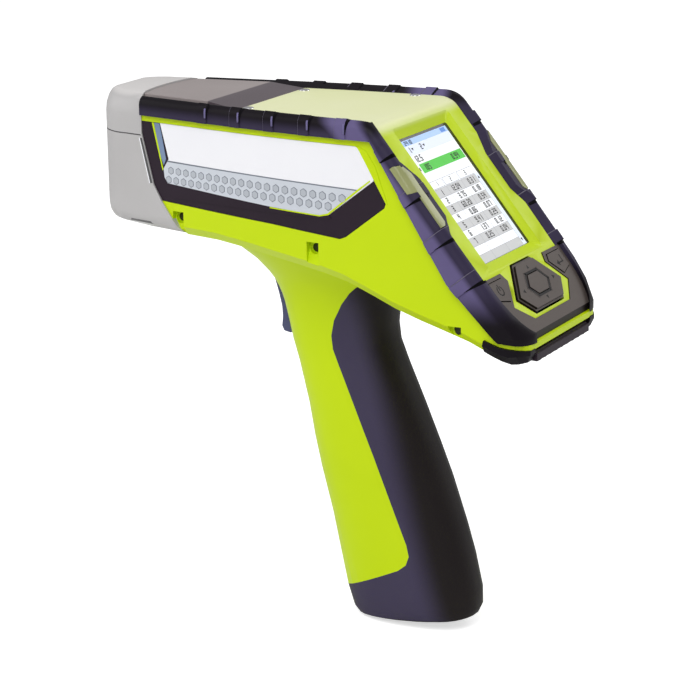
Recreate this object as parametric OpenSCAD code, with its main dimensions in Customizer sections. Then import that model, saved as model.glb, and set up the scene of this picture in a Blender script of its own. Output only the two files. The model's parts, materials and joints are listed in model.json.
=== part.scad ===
// Handheld x-ray fluorescence analyzer: a pistol-grip housing with a nose at the front, a sloping
// screen at the rear and a battery handle below. +X points to the rear, +Z up, and the part is
// alike on both sides of the y = 0 plane. z = 0 is the lowest point of the handle.

/* [Housing] */
// Overall length, from the nose face to the rear foot
overall_length = 212; // [210:0.5:214]
// Height of the bumper crests above the foot of the handle
top_z = 225; // [224:0.5:227]
// Half width over the bumpers, at the widest place
half_width = 43.8; // [43:0.1:45]
// Radius of the long curve of the sides, seen from above
side_radius = 600; // [560:10:700]
// Where the sides are widest
widest_x = 59; // [56:1:62]
// Where the curved sides turn into the straight taper towards the nose
taper_x = -40; // [-44:1:-36]
// Wall thickness of the mouldings
wall = 2.4; // [2:0.1:2.8]
// How far the neon housing lies inside the bumpers
side_step = 1.8; // [1.4:0.1:2.2]
// Width of the slanting edge between each side and the bottom
belly_chamfer = 4; // [3:0.5:5]
// Gap between a plate and the pocket that it sits in
seat_gap = 0.1; // [0.05:0.05:0.2]
// Depth of the pocket for the plates on each side
pocket = 1.6; // [1.2:0.1:1.8]

/* [Nose] */
// Length of the nose, along the top
nose_l = 28.5; // [27:0.5:30]
// Half width of the nose behind its front corners
nose_half_width = 26.6; // [26:0.1:27.2]
// Plan radius of the two front corners
nose_corner = 19; // [17:0.5:20]
// Radius of the long edges on top of the nose
nose_shoulder = 9; // [7:0.5:11]
// Height of the line between the upper and lower nose shells
nose_split_z = 208; // [206:0.5:210]
// Wall thickness of the nose
nose_wall = 2.6; // [2.2:0.1:3]

/* [Screen] */
// Slope of the screen below the horizontal, in degrees
screen_slope = 51; // [50:0.5:52]
// Centre of the screen glass, forward of the rear foot
screen_back = 45.4; // [44.8:0.1:46]
// Height of the centre of the screen glass
screen_z = 190.1; // [189.5:0.1:190.7]
// Visible width of the screen
screen_w = 46; // [43:0.5:47]
// Visible length of the screen
screen_l = 61.4; // [59:0.2:62]
// Depth of the glass below the face of the cover
screen_depth = 2.8; // [2.4:0.1:3.2]
// How far the bumper crests stand above the face of the cover
crest_rise = 2.2; // [1.8:0.1:2.6]
// Thickness of the glass
glass_t = 1.2; // [1:0.1:1.6]

/* [Bumpers] */
// Width of the top rails at the foot, seen from above
top_rail_w = 8; // [7.6:0.1:8.4]
// Width of the sloping rails at the foot, beside the screen
slope_rail_w = 7.8; // [7.4:0.1:8.2]
// How much wider the sloping rails are beside the lamps
lamp_swell = 4.4; // [4:0.1:4.8]
// Radius of the rolled outer edge of the rails
rail_roll = 4; // [3:0.2:4.4]
// Width of the sloping rails beside the keys
key_rail_w = 5.5; // [5:0.5:6.5]
// Height of the top rails
rail_h = 8; // [7:0.5:9]
// Thickness of the rubber of the rails
rail_t = 3; // [2.6:0.1:3.4]
// Rise of the bands that ring the rails
band_rise = 0.5; // [0.3:0.1:0.7]
// Length of each band along the rail
band_w = 5; // [4:0.5:6]
// Spacing of the bands on the top rails
top_pitch = 17.3; // [16.5:0.1:17.5]
// Spacing of the bands on the sloping rails
slope_pitch = 20.6; // [20:0.1:21]

/* [Handle] */
// Half width of the handle
grip_half_w = 17.4; // [16.8:0.1:18]
// Thickness of the rubber grip
grip_skin = 2.2; // [1.8:0.1:2.4]
// Slant of the handle from the vertical, in degrees
grip_lean = 15; // [14.5:0.1:15.5]
// Rise of the foot of the handle towards the rear, per unit of length
foot_rise = 0.09; // [0.07:0.01:0.1]
// Width of the battery
battery_w = 23; // [21:0.5:24]
// Depth of the battery, front to rear
battery_d = 36; // [33:0.5:37]
// Length of the battery
battery_l = 76; // [72:1:78]
// Running gap round the battery
battery_gap = 0.5; // [0.4:0.05:0.6]

/* [Controls] */
// Travel of the keys
key_travel = 0.8; // [0.5:0.1:1]
// Gap round each key and button
key_gap = 0.35; // [0.3:0.05:0.4]
// Rise of the direction pad above the cover
pad_rise = 1.6; // [1.2:0.1:2]
// Half width of the trigger
trigger_half_w = 5.5; // [5:0.1:6]
// Diameter of the trigger pin
trigger_pin_d = 3; // [2.6:0.1:3.2]
// Diameter of the contact button on the nose
nose_button_d = 6; // [5:0.2:6.6]

/* [Ports] */
// Width of the flap over the ports
flap_w = 54; // [50:1:56]
// Diameter of the hinge pin of the flap
flap_pin_d = 1.6; // [1.4:0.1:1.8]

/* [Optics] */
// Diameter of the x-ray tube
tube_d = 18; // [16:0.5:19]
// Diameter of the detector
detector_d = 12; // [10:0.5:13]
// Tooth size of the filter drive, as module
tooth_module = 0.7; // [0.68:0.01:0.72]
// Diameter of the hole for the beam in the window bracket
window_d = 9; // [8:0.5:10]

/* [Hidden] */

$fn = 64;
nose_x = -overall_length / 2;
rear_x = overall_length / 2;
nose_joint_x = nose_x + nose_l;
screen_x = rear_x - screen_back;
crest = screen_depth + crest_rise;
deck_z = top_z - crest_rise;
crest_corner_r = 12;
foot_corner_r = 14;
run = 0.05;

neon = [0.8, 0.9, 0.07];
dark = [0.3, 0.27, 0.28];
violet = [0.2, 0.18, 0.26];
pale = [0.7, 0.7, 0.69];
steel = [0.75, 0.76, 0.78];

// ---- outlines ----

// A point given along the slope of the screen and out of it, as [x, z]
function slope_at(along, out) = [
    screen_x + along * cos(screen_slope) + out * sin(screen_slope),
    screen_z - along * sin(screen_slope) + out * cos(screen_slope)
];
// Distance along the slope at which a line parallel to the screen reaches a height
function along_at_z(z, out) = (screen_z + out * cos(screen_slope) - z) / sin(screen_slope);
// Distance along the slope at which a line parallel to the screen reaches a place on X
function along_at_x(x, out) = (x - screen_x - out * sin(screen_slope)) / cos(screen_slope);
function arc(c, r, from, to, steps) = [
    for (i = [0 : steps]) let (a = from + (to - from) * i / steps) c + r * [cos(a), sin(a)]
];
// A rectangle with round corners, listed anticlockwise
function soft_box(w, d, r, steps = 5) = concat(
    arc([w / 2 - r, d / 2 - r], r, 0, 90, steps), arc([r - w / 2, d / 2 - r], r, 90, 180, steps),
    arc([r - w / 2, r - d / 2], r, 180, 270, steps), arc([w / 2 - r, r - d / 2], r, 270, 360, steps)
);
function unit(v) = v / norm(v);
function across(v) = [-v[1], v[0]];
// A closed outline, listed anticlockwise, moved inwards by a distance
function inset(points, by) = [
    for (i = [0 : len(points) - 1])
        let (
            before = points[(i + len(points) - 1) % len(points)],
            here = points[i],
            after = points[(i + 1) % len(points)],
            n1 = across(unit(here - before)),
            n2 = across(unit(after - here))
        )
        here + by * (n1 + n2) / (1 + n1 * n2)
];
function backwards(points) = [for (i = [len(points) - 1 : -1 : 0]) points[i]];

// ---- the form of the housing ----

taper = (widest_x - taper_x) / side_radius;
taper_half = half_width - pow(widest_x - taper_x, 2) / (2 * side_radius);
foot_round_x = rear_x - foot_corner_r;
function corner_loss(x) = x < foot_round_x
    ? 0
    : foot_corner_r - sqrt(max(0, pow(foot_corner_r, 2) - pow(x - foot_round_x, 2) * 0.9));
// Half width of the housing over the bumpers
function half_at(x) = x < taper_x
    ? taper_half - taper * (taper_x - x)
    : half_width - pow(x - widest_x, 2) / (2 * side_radius) - corner_loss(x);
// Line of the bottom of the housing, from the nose to the rear foot
belly = [
    [nose_x - 14, 170.5], [nose_x + 28, 167.3], [-38, 166.6], [-22, 164.8], [12, 160], [28, 156.4],
    [rear_x - 55, 147], [rear_x - 28, 139], [rear_x - 18, 135.4], [rear_x - 13, 132.4],
    [rear_x - 7, 130.2],
    [rear_x + 14, 129.2]
];
function belly_at(x) = lookup(x, belly);
station_steps = 16;
stations = concat(
    [for (i = [0 : station_steps - 1])
        nose_joint_x - 6.5 + (foot_round_x - nose_joint_x + 6.5) * i / station_steps],
    [for (a = [0 : 15 : 90]) foot_round_x + foot_corner_r * sin(a)],
    [rear_x + 3]
);

// A closed skin over rings that all have the same number of points
module loft(rings) {
    count = len(rings[0]);
    last = len(rings) - 1;
    polyhedron(
        points = [for (ring = rings) each ring],
        faces = [
            [for (i = [0 : count - 1]) i],
            [for (i = [count - 1 : -1 : 0]) last * count + i],
            for (k = [0 : last - 1], i = [0 : count - 1])
                let (a = k * count + i, b = k * count + (i + 1) % count)
                each [[a, a + count, b], [b, a + count, b + count]]
        ]
    );
}
// The tapering block of the housing, inside the bumper line by a distance
module body_block(by, up = 240) {
    loft([
        for (x = stations)
            let (w = half_at(x) - by, low = belly_at(x) + max(0, by - side_step), c = belly_chamfer)
            [[x, -w, up], [x, -w, low + c], [x, c - w, low], [x, w - c, low], [x, w, low + c], [x, w, up]]
    ]);
}
// A side outline drawn in x and z, carried across the part
module side_slab(points, from = -60, to = 60) {
    translate([0, to, 0]) rotate([90, 0, 0]) linear_extrude(to - from) polygon(points);
}
// A frame whose x runs down the slope of the screen and whose z comes straight out of it
module on_slope() translate([screen_x, 0, screen_z]) rotate([0, screen_slope, 0]) children();
// A shape drawn in the plane of the screen, between two distances out of it
module slope_slab(points, from, to) on_slope() translate([0, 0, from]) linear_extrude(to - from)
    polygon(points);
// The half of the part on one side of the middle
module one_side(side) translate([-150, side > 0 ? 0 : -100, -10]) cube([300, 100, 300]);
module mirrored(side) mirror([0, side > 0 ? 1 : 0, 0]) children();

// Under the crests of the rails: the rear foot, the slope, the rounded corner and the top
rear_foot = [rear_x, 134];
crest_corner = slope_at(along_at_z(top_z - crest_corner_r, crest - crest_corner_r),
    crest - crest_corner_r);
crest_foot = along_at_x(rear_x, crest);
crest_end = along_at_z(crest_corner[1], crest - crest_corner_r);
crown_points = concat(
    [[nose_x - 30, 100], [rear_x - 7, 100], [rear_x - 7, 129.4], [rear_x - 1.6, 130.4], rear_foot],
    [for (i = [0 : 9]) slope_at(crest_foot + (crest_end - crest_foot) * i / 10, crest)],
    arc(crest_corner, crest_corner_r, 90 - screen_slope, 90, 6),
    [for (i = [1 : 14]) [crest_corner[0] + (nose_x - 30 - crest_corner[0]) * i / 14, top_z]]
);
module crown(by) side_slab(inset(crown_points, by));
// A round ring that closes off an outline at a place on Y, point by point
function end_ring(points, y) = [
    for (p = points) let (a = atan2(p[1] - 160, p[0])) [40 * cos(a), y, 160 + 40 * sin(a)]
];
// The crown with its edge on the left side rolled over, until it runs out through the side of the housing
roll_out = 0.08;
function rolled_in(turn) = (rail_roll + roll_out) * (1 - cos(turn)) - roll_out;
module rolled_crown(rise) {
    loft(concat(
        [end_ring(crown_points, 60), [for (p = inset(crown_points, -rise)) [p[0], 5, p[1]]]],
        [for (turn = [90 : -22.5 : 0]) [
            for (p = inset(crown_points, rail_roll * (1 - sin(turn)) - rise))
                [p[0], rolled_in(turn) - rise - half_at(p[0]), p[1]]
        ]],
        [end_ring(crown_points, -70)]
    ));
}

// The seam between the neon housing and the rails above it
seam_points = [
    [nose_x - 30, top_z - rail_h],
    slope_at(along_at_z(top_z - rail_h, 0.6), 0.6),
    slope_at(30, -7.5),
    slope_at(49, -5.7),
    slope_at(61, -4.6),
    [rear_x + 5, rear_foot[1] + 3]
];
under_seam = concat([[rear_x + 5, 100]], backwards(seam_points), [[nose_x - 30, 100]]);
over_seam = concat(seam_points, [[rear_x + 5, 245], [nose_x - 30, 245]]);

// The seam between the nose and the housing, seen from the side
nose_seam = [
    [nose_joint_x, 240], [nose_joint_x, 209], [nose_joint_x + 5.9, 187.5], [nose_joint_x + 10, 180.9],
    [nose_joint_x + 21.1, 167.1], [nose_joint_x + 29.5, 157]
];
behind_nose = concat([nose_seam[5], [nose_seam[5][0], 100], [150, 100], [150, 240]],
    [for (i = [0 : 4]) nose_seam[i]]);
nose_side = concat([[nose_x - 20, 240], [nose_x - 20, 157]], backwards(nose_seam));

// The zones of the face: the deck on top, the slope beside the screen and the part with the keys
fold = slope_at(along_at_z(deck_z, screen_depth), screen_depth);
key_line = 37.4;
lap = 0.02;
top_zone = [[nose_x - 30, 150], [fold[0], 150], [fold[0], 245], [nose_x - 30, 245]];
slope_zone = [[fold[0] - lap, 245], [fold[0] - lap, 150], slope_at(key_line + lap, -40),
    slope_at(key_line + lap, 60)];
key_zone = [slope_at(key_line, -40), slope_at(100, -40), slope_at(100, 60), slope_at(key_line, 60)];
// Where the sloping rails widen beside the lamps: along the slope, share of the swell
swell = [[-60, 0], [-21, 0], [-11, 1], [7, 1], [15, 0], [60, 0]];
function rail_foot(along) = slope_rail_w + lamp_swell * lookup(along, swell);
function rail_crest(along) = slope_rail_w - 4.2 + (lamp_swell + 2.4) * lookup(along, swell);
// A ring of a trough whose sides lean outwards above its floor, from points [half width, height]
function trough_ring(w_crest, w_foot, crest_at, foot_at) = [
    [-w_crest, crest_at], [-w_foot, foot_at], [-w_foot, foot_at - 60], [w_foot, foot_at - 60],
    [w_foot, foot_at],
    [w_crest, crest_at]
];
// The open space between the two rails, drawn in by a distance: on the deck and beside the screen
module trough(by) {
    intersection() {
        loft([
            for (x = concat([nose_x - 30], stations))
                [for (p = trough_ring(half_at(x) - 2.5 + 3, half_at(x) - top_rail_w - by, top_z + 1.2,
                    deck_z))
                    [x, p[0], p[1]]]
        ]);
        side_slab(top_zone);
    }
    intersection() {
        loft([
            for (along = [-60, -45, -33, -21, -16, -11, -2, 7, 11, 15, 26, 42])
                let (w = half_at(slope_at(along, crest)[0]))
                [for (p = trough_ring(w - rail_crest(along) + 1.8, w - rail_foot(along) - by,
                    crest + 1.2, screen_depth))
                    let (q = slope_at(along, p[1]))
                    [q[0], p[0], q[1]]]
        ]);
        side_slab(slope_zone);
    }
}

// Room inside the housing
port_floor = 137.2;
module cavity() intersection() {
    body_block(side_step + wall, 245);
    side_slab([[-150, 100], [rear_x - 15.6, 100], [rear_x - 15.6, port_floor], [rear_x - 6, port_floor],
        [rear_x - 6, 245], [-150, 245]]);
}

// ---- the form of the handle ----

// Rings of the handle: height, middle, half depth, half width, squareness and share of the foot's slant
grip_profile = [
    [0, 39, 24, 12.2, 2.5, 1],
    [1.4, 38.9, 27.4, 15, 2.5, 1],
    [4.5, 38.6, 29.2, 16.6, 2.5, 1],
    [13, 37.15, 30.5, 17.1, 2.5, 0.8],
    [30, 33.6, 30.6, 17.4, 2.5, 0.4],
    [45, 30.05, 30.2, 17.5, 2.5, 0],
    [65, 24, 29.4, 17.5, 2.5, 0],
    [79, 19.6, 28.1, 17.5, 2.5, 0],
    [94, 15.1, 26.2, 17.4, 2.5, 0],
    [112, 8.9, 24.2, 17.3, 2.5, 0],
    [122, 5.4, 23.6, 17.4, 2.5, 0],
    [130, 4, 24, 17.6, 2.5, 0],
    [138, 3.4, 25.4, 18, 2.5, 0],
    [141.5, 3.5, 26.8, 18.4, 2.5, 0],
    [145, 3.5, 28.5, 19, 2.5, 0],
    [148, 3.5, 30.3, 19.9, 2.5, 0],
    [151, 3.35, 32.65, 21, 2.5, 0],
    [156.5, 3.25, 37.75, 24, 2.6, 0],
    [161, 2.3, 42.3, 27, 2.8, 0],
    [166, 1, 48, 30, 3, 0]
];
foot_lift = grip_profile[0][2] * foot_rise;
ring_steps = 28;
foot_blend = 13;
function signed_pow(v, p) = sign(v) * pow(abs(v), p);
function grip_ring(r, skin) =
    let (a = r[2] - skin, b = r[3] + grip_half_w - 17.4 - skin)
    [
        for (i = [0 : ring_steps - 1])
            let (
                t = 360 * (i + 0.5) / ring_steps,
                x = a * signed_pow(cos(t), 2 / r[4]),
                y = b * signed_pow(sin(t), 2 / r[4])
            )
            [r[1] + x, y, r[0] + r[5] * (foot_lift + foot_rise * x) + skin * max(0, 1 - r[0] / foot_blend)]
    ];
module handle(skin) loft([for (r = grip_profile) grip_ring(r, skin)]);

// Where the rubber grip covers the handle, seen from the side
grip_area = [
    [-10, -10], [100, -10], [100, 160], [60, 160], [33, 137.5], [22.2, 149.6], [21, 150.2], [19.6, 149.4],
    [16.5, 146.7], [12.2, 141.2], [8.5, 133.9], [7, 127], [7.6, 121.2], [10.2, 114.6], [26.2, 76.6],
    [41.5, 38.5],
    [42.6, 33.5], [41.2, 29.5], [37.5, 26.5], [8, 13], [-10, 8]
];
// A frame whose z runs up the slanting handle
bay_foot = [36.6, 0, 13];
bay_low = -4;
module along_grip() translate(bay_foot) rotate([0, -grip_lean, 0]) children();
module bay_prism(grow, from, to) {
    along_grip() translate([0, 0, from]) linear_extrude(to - from)
        polygon(soft_box(battery_d + 2 * grow, battery_w + 2 * grow, 8));
}
// The flat face that the handle ends in
module under_foot() {
    tilt = atan(foot_rise);
    translate([grip_profile[0][1], 0, foot_lift]) rotate([0, -tilt, 0]) translate([-60, -60, -40])
        cube([120, 120, 40]);
}

// ---- the trigger ----

trigger_pivot = [-14, 150.3];
trigger_points = [
    [-29.3, 153.2], [-27.1, 147], [-24.9, 139.8], [-23.5, 134], [-23.2, 129.5], [-23.7, 125.4],
    [-22.6, 123],
    [-19.5, 122.4], [-15.6, 124.2], [-14.8, 136], [-10.8, 142.5], [-9.4, 148], [-9.4, 152.4], [-11.6, 155],
    [-26.5, 155.2]
];
trigger_slot = [[-60, 120.9], [-3, 120.9], [-3, 155.9], [-60, 155.9]];
upper_room = [[-4, 100], [18, 100], [21, 128], [17, 148], [6, 158], [6, 172], [-4, 172]];

// ---- screws of the housing ----

cover_split_x = -29.5;
cover_bend_x = -45;
cover_top_z = top_z - 0.1;
cover_front_r = 90;
cover_front_x = nose_joint_x - 5;

// Each notch: place on X, height of its flat top, how far down it runs out
notch_w = 5.8;
notch_deep = 4;
notches = [[nose_joint_x + 18.7, 177.2, 11.5], [11.2, 172.6, 11.5], [rear_x - 29.7, 144.6, 9]];
housing_screw_drop = 2.9;
housing_screw_d = 2.6;
housing_head_d = 4.6;
// Each deck screw: place on X and how far in from the foot of the rail
deck_screws_in = [[cover_split_x + 2.5, 5.6], [fold[0] - 15.2, 2.6]];
deck_screws_at = [for (s = deck_screws_in) [s[0], half_at(s[0]) - top_rail_w - s[1]]];
deck_screw_d = 2.4;
deck_head_d = 4.6;

// ---- plates on the sides ----

plate_end_x = screen_x - 14.6;
frame_area = [
    [nose_joint_x, 214.4], nose_seam[1], nose_seam[2], nose_seam[3], [-8.7, 178], [24.4, 175.4],
    [27.4, 176.6],
    [plate_end_x - 0.6, 190.2], [plate_end_x, 192], [plate_end_x - 5.2, 206.4], [plate_end_x - 9.2, 212.4],
    [plate_end_x - 14, 214.4]
];
// The pocket runs on past the seam of the nose
pocket_area = [for (i = [0 : len(frame_area) - 1]) frame_area[i] - (i < 4 ? [1, 0] : [0, 0])];
label_area = [
    [nose_joint_x + 10.1, 214.4], [nose_joint_x + 14.3, 199.4], [nose_joint_x + 12.5, 195.5],
    [nose_joint_x + 13.7, 186.4], [nose_joint_x + 16.5, 183.6], [16.2, 183.4], [18.6, 184.2],
    [plate_end_x - 5.4, 200.8], [plate_end_x - 5.2, 206.4], [plate_end_x - 9.2, 212.4],
    [plate_end_x - 14, 214.4]
];

module side_plate(points, by_top, by_bottom) intersection() {
    difference() {
        body_block(by_top);
        body_block(by_bottom);
    }
    side_slab(points, -60, 0);
}

// ---- ports at the rear foot ----

corner_area = [
    [rear_x - 16.8, 140.6], [rear_x - 19.4, 130], [rear_x - 19.4, 110], [rear_x + 9, 110],
    [rear_x + 9, 135.2],
    [rear_x, 135.7], [rear_x - 10.4, 138.1]
];
flap_hinge = [rear_x - 2.4, 132.3];
flap_lip_r = 3.4;
flap_points = [
    flap_hinge + [-10, -0.7], flap_hinge + [-4, -2.1], flap_hinge + [2.3, -2.4], flap_hinge + [2.3, 0.8],
    flap_hinge + [-0.6, 1.7], flap_hinge + [-10, 1.9]
];
flap_ceiling = 134.6;
flap_knuckle_r = 1.7;
port_h = 4;
usb_at = [rear_x - 11.5, -9.5];
jack_at = [rear_x - 11, 9.5];

// ---- optics in the nose ----

window_z = 196;
beam_z = 191.2;
wheel_teeth = 33;
pinion_teeth = 11;
wheel_z = 184.2;
wheel_x = nose_x + 9.5;
wheel_t = 2;
wheel_r = tooth_module * wheel_teeth / 2;
pinion_r = tooth_module * pinion_teeth / 2;
pinion_angle = -20;
pinion_y = (wheel_r + pinion_r) * cos(pinion_angle);
pinion_z = wheel_z + (wheel_r + pinion_r) * sin(pinion_angle);
optics_x = wheel_x + wheel_t + 2.6;
optics_t = 2;

// ---- shells ----

module housing_form() {
    difference() {
        union() {
            intersection() {
                body_block(side_step);
                side_slab(under_seam);
                side_slab(behind_nose);
                crown(0.5);
            }
            handle(grip_skin + seat_gap);
            difference() {
                handle(0);
                side_slab(grip_area);
            }
        }
        cavity();
    }
}
// The posts and pocket floors that the housing screws pull together
module screw_posts() {
    intersection() {
        body_block(side_step);
        side_slab(behind_nose);
        for (n = notches) {
            y = half_at(n[0]) - side_step;
            translate([n[0] - notch_w / 2 - 2, -y, n[1] - n[2]])
                cube([notch_w + 4, notch_deep + 2, n[2] + 2]);
            translate([n[0], -0.001, n[1] - housing_screw_drop]) rotate([90, 0, 0])
                cylinder(d = 7, h = y - notch_deep);
        }
    }
}
module housing(side) {
    color(neon) difference() {
        intersection() {
            one_side(side);
            union() {
                housing_form();
                mirrored(side) screw_posts();
            }
        }
        bay_prism(battery_gap, -40, bay_low + battery_l + 3);
        side_slab(upper_room, -9.5, 9.5);
        side_slab(trigger_slot, -trigger_half_w - 0.5, trigger_half_w + 0.5);
        translate([trigger_pivot[0], 0, trigger_pivot[1]]) rotate([90, 0, 0])
            cylinder(d = trigger_pin_d + 0.04, h = 24.4, center = true);
        mirrored(side) {
            difference() {
                side_slab(pocket_area, -60, 0);
                body_block(side_step + pocket);
            }
            for (n = notches) notch(n);
            for (n = notches) housing_screw_hole(n);
            intersection() {
                side_slab(corner_area, -60, -flap_w / 2 - 1);
                translate([0, -60, 100]) cube([150, 60 - flap_w / 2 - 1, 60]);
            }
        }
        flap_room();
        port_holes(seat_gap);
        under_foot();
    }
}
module notch(n) {
    y = half_at(n[0]) - side_step;
    translate([n[0] - notch_w / 2, -y, n[1]]) rotate([90, 0, 90]) linear_extrude(notch_w)
        polygon([[-10, 0], [-10, -n[2]], [0, -n[2]], [notch_deep, 0]]);
}
module housing_screw_hole(n) {
    y = half_at(n[0]) - side_step;
    translate([n[0], 0, n[1] - housing_screw_drop]) rotate([90, 0, 0])
        cylinder(d = housing_screw_d + 0.2, h = 60);
    translate([n[0], notch_deep - y, n[1] - housing_screw_drop]) rotate([90, 0, 0])
        cylinder(d = housing_head_d + 0.4, h = 20);
}
module left_housing() housing(-1);
module right_housing() housing(1);

// ---- the rubber grip ----

module grip() {
    color(violet) difference() {
        intersection() {
            handle(0);
            side_slab(grip_area);
        }
        handle(grip_skin);
        bay_prism(battery_gap, -40, bay_low);
        body_block(side_step - 0.2);
    }
}

// ---- covers ----

cover_t = 2.6;
module cover_front(grow) {
    translate([cover_front_x + cover_front_r, 0, cover_top_z - cover_t - grow])
        cylinder(r = cover_front_r + grow, h = 30, $fn = 256);
}
module top_cover() {
    top = [[cover_split_x, deck_z], [cover_bend_x, cover_top_z], [-100, cover_top_z]];
    under = [[-100, cover_top_z - cover_t], [cover_bend_x - 0.4, cover_top_z - cover_t],
        [cover_split_x, deck_z - cover_t]];
    color(dark) intersection() {
        body_block(top_rail_w + seat_gap);
        side_slab(concat(top, under));
        cover_front(0);
    }
}
module window_room() {
    // the funnel that leads down to the glass
    hull() {
        slope_slab(soft_box(screen_l, screen_w, 1), -0.1, 0.1);
        slope_slab(soft_box(screen_l + 9, screen_w + 5, 2), screen_depth, screen_depth + 0.1);
    }
}
key_out = half_width - 9.2;
pad_points = [[58.2, -13.5], [58.2, 13.5], [50.4, 21.2], [36.9, 8.8], [36.9, -8.8], [50.4, -21.2]];
select_points = [[52.4, -4.8], [52.4, 4.8], [48.2, 8.6], [43.4, 4.6], [43.4, -4.6], [48.2, -8.6]];
tongue_points = [
    [key_line - 8, -20.7], [key_line, -20.7], [41.6, -18.6], [52.5, -27], [60.3, -17.5],
    [60.3, 17.5], [52.5, 27], [41.6, 18.6], [key_line, 20.7], [key_line - 8, 20.7]
];
key_points = [[39.4, 22.8], [42.2, 21], [49.4, 27], [47.4, key_out], [39.4, key_out]];
pad_gap = 0.8;
module display_cover() {
    color(neon) difference() {
        intersection() {
            crown(crest_rise);
            union() {
                intersection() {
                    trough(seat_gap);
                    side_slab([[cover_split_x, 100], [150, 100], [150, 250], [cover_split_x, 250]]);
                }
                slope_slab(tongue_points, -5, 10);
            }
        }
        crown(crest_rise + screen_depth);
        window_room();
        slope_slab(inset(pad_points, -pad_gap), -10, 20);
        for (side = [-1, 1], s = deck_screws_at)
            translate([s[0], side * s[1], 200]) cylinder(d = deck_screw_d + 0.3, h = 40);
    }
    color(neon) mirrored(-1) pad_bearing();
    color(neon) mirrored(1) pad_bearing();
}
// An arm under the cover that holds one trunnion of the ring of the direction pad
pad_middle = 47.5;
pad_axis = -3;
pad_ring_r = 10.2;
pad_pin_d = 1.6;
module pad_bearing() on_slope() difference() {
    union() {
        translate([pad_middle - 2.2, -21.3, pad_axis - 1.6]) cube([4.4, 21.3 - pad_ring_r - 0.4, 3.2]);
        translate([pad_middle - 2.2, -21.3, pad_axis]) cube([2.2, 1.5, 0.4 - pad_axis]);
    }
    translate([pad_middle, 0, pad_axis]) rotate([90, 0, 0])
        cylinder(d = pad_pin_d + 2 * run, h = pad_ring_r + 3.4);
}
module lower_bezel() {
    color(dark) {
        difference() {
            intersection() {
                body_block(key_rail_w + seat_gap);
                crown(crest_rise - 0.4);
                side_slab([for (p = key_zone) p + seat_gap * [cos(screen_slope), -sin(screen_slope)]]);
                side_slab(over_seam);
            }
            crown(crest_rise + screen_depth);
            slope_slab(inset(tongue_points, -seat_gap), -20, 20);
            mirrored(-1) key_room();
            mirrored(1) key_room();
        }
        for (side = [-1, 1])
            on_slope() translate([58.3, side * 24.6, -4.9]) cylinder(d = 4.4, h = 5.1);
    }
}
module key_room() slope_slab([for (p = backwards(inset(key_points, -key_gap))) [p[0], -p[1]]], -20, 20);

// ---- bumpers ----

first_band_x = -43.1;
first_band_along = -27.4;
module band_slabs() {
    for (i = [0 : 4])
        translate([first_band_x + i * top_pitch - band_w / 2, -60, 190]) cube([band_w, 120, 60]);
    for (i = [0 : 3])
        on_slope() translate([first_band_along + i * slope_pitch - band_w / 2, -60, -20])
            cube([band_w, 120, 40]);
}
module rail_skin(rise) intersection() {
    body_block(-rise);
    rolled_crown(rise);
    side_slab(over_seam);
    side_slab(behind_nose);
}
module bumper(side) {
    color(violet) difference() {
        mirrored(side) intersection() {
            one_side(-1);
            union() {
                rail_skin(0);
                intersection() {
                    rail_skin(band_rise);
                    band_slabs();
                }
            }
        }
        intersection() {
            body_block(rail_t, 244);
            crown(rail_t);
        }
        trough(0);
        intersection() {
            body_block(key_rail_w, 244);
            side_slab(key_zone);
        }
        mirrored(side) lens_prisms(seat_gap);
    }
}
module left_bumper() bumper(-1);
module right_bumper() bumper(1);

// The lamp wraps over the edge of the rail, and a narrow tail of it runs down the crest
upper_lens = [[-20.4, 1.5], [-8, 1.5], [-6.5, 5.2], [-6.5, 9], [-17, 9], [-20.4, 3]];
lower_lens = [
    [-18.4, 1.9 - half_width], [10.6, 1.9 - half_width], [10.6, 4.6 - half_width], [9, 6 - half_width],
    [-14.6, 6 - half_width], [-18.4, 3.4 - half_width]
];
lens_proud = 0.3;
lens_deep = 2.2;
module lens_prisms(grow) {
    difference() {
        on_slope() rotate([90, 0, 0]) linear_extrude(60) polygon(inset(upper_lens, -grow));
        body_block(lens_deep + grow, 250);
    }
    slope_slab(inset(lower_lens, -grow), crest - lens_deep - grow, 15);
}
module indicator_lens(side) {
    color([0.92, 0.93, 0.75, 0.7]) mirrored(side) intersection() {
        body_block(-lens_proud);
        rolled_crown(lens_proud);
        lens_prisms(0);
    }
}
module left_indicator_lens() indicator_lens(-1);
module right_indicator_lens() indicator_lens(1);

// ---- side plates ----

module side_frame(side) {
    color(dark) mirrored(side) difference() {
        side_plate(inset(frame_area, seat_gap), side_step, side_step + pocket - seat_gap);
        side_slab(label_area);
    }
}
module left_side_frame() side_frame(-1);
module right_side_frame() side_frame(1);
module label_plate(side) {
    color([0.93, 0.94, 0.97]) mirrored(side)
        side_plate(inset(label_area, seat_gap + 0.02), side_step - 0.1, side_step + pocket - seat_gap);
}
module left_label_plate() label_plate(-1);
module right_label_plate() label_plate(1);
module rear_corner(side) {
    color(violet) difference() {
        intersection() {
            mirrored(side) side_slab(inset(corner_area, seat_gap), -60, -flap_w / 2 - 1 - seat_gap);
            body_block(0.6);
            crown(0.3);
        }
        cavity();
        flap_pin_hole(0.02);
    }
}
module left_rear_corner() rear_corner(-1);
module right_rear_corner() rear_corner(1);

// ---- flap and ports ----

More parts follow.
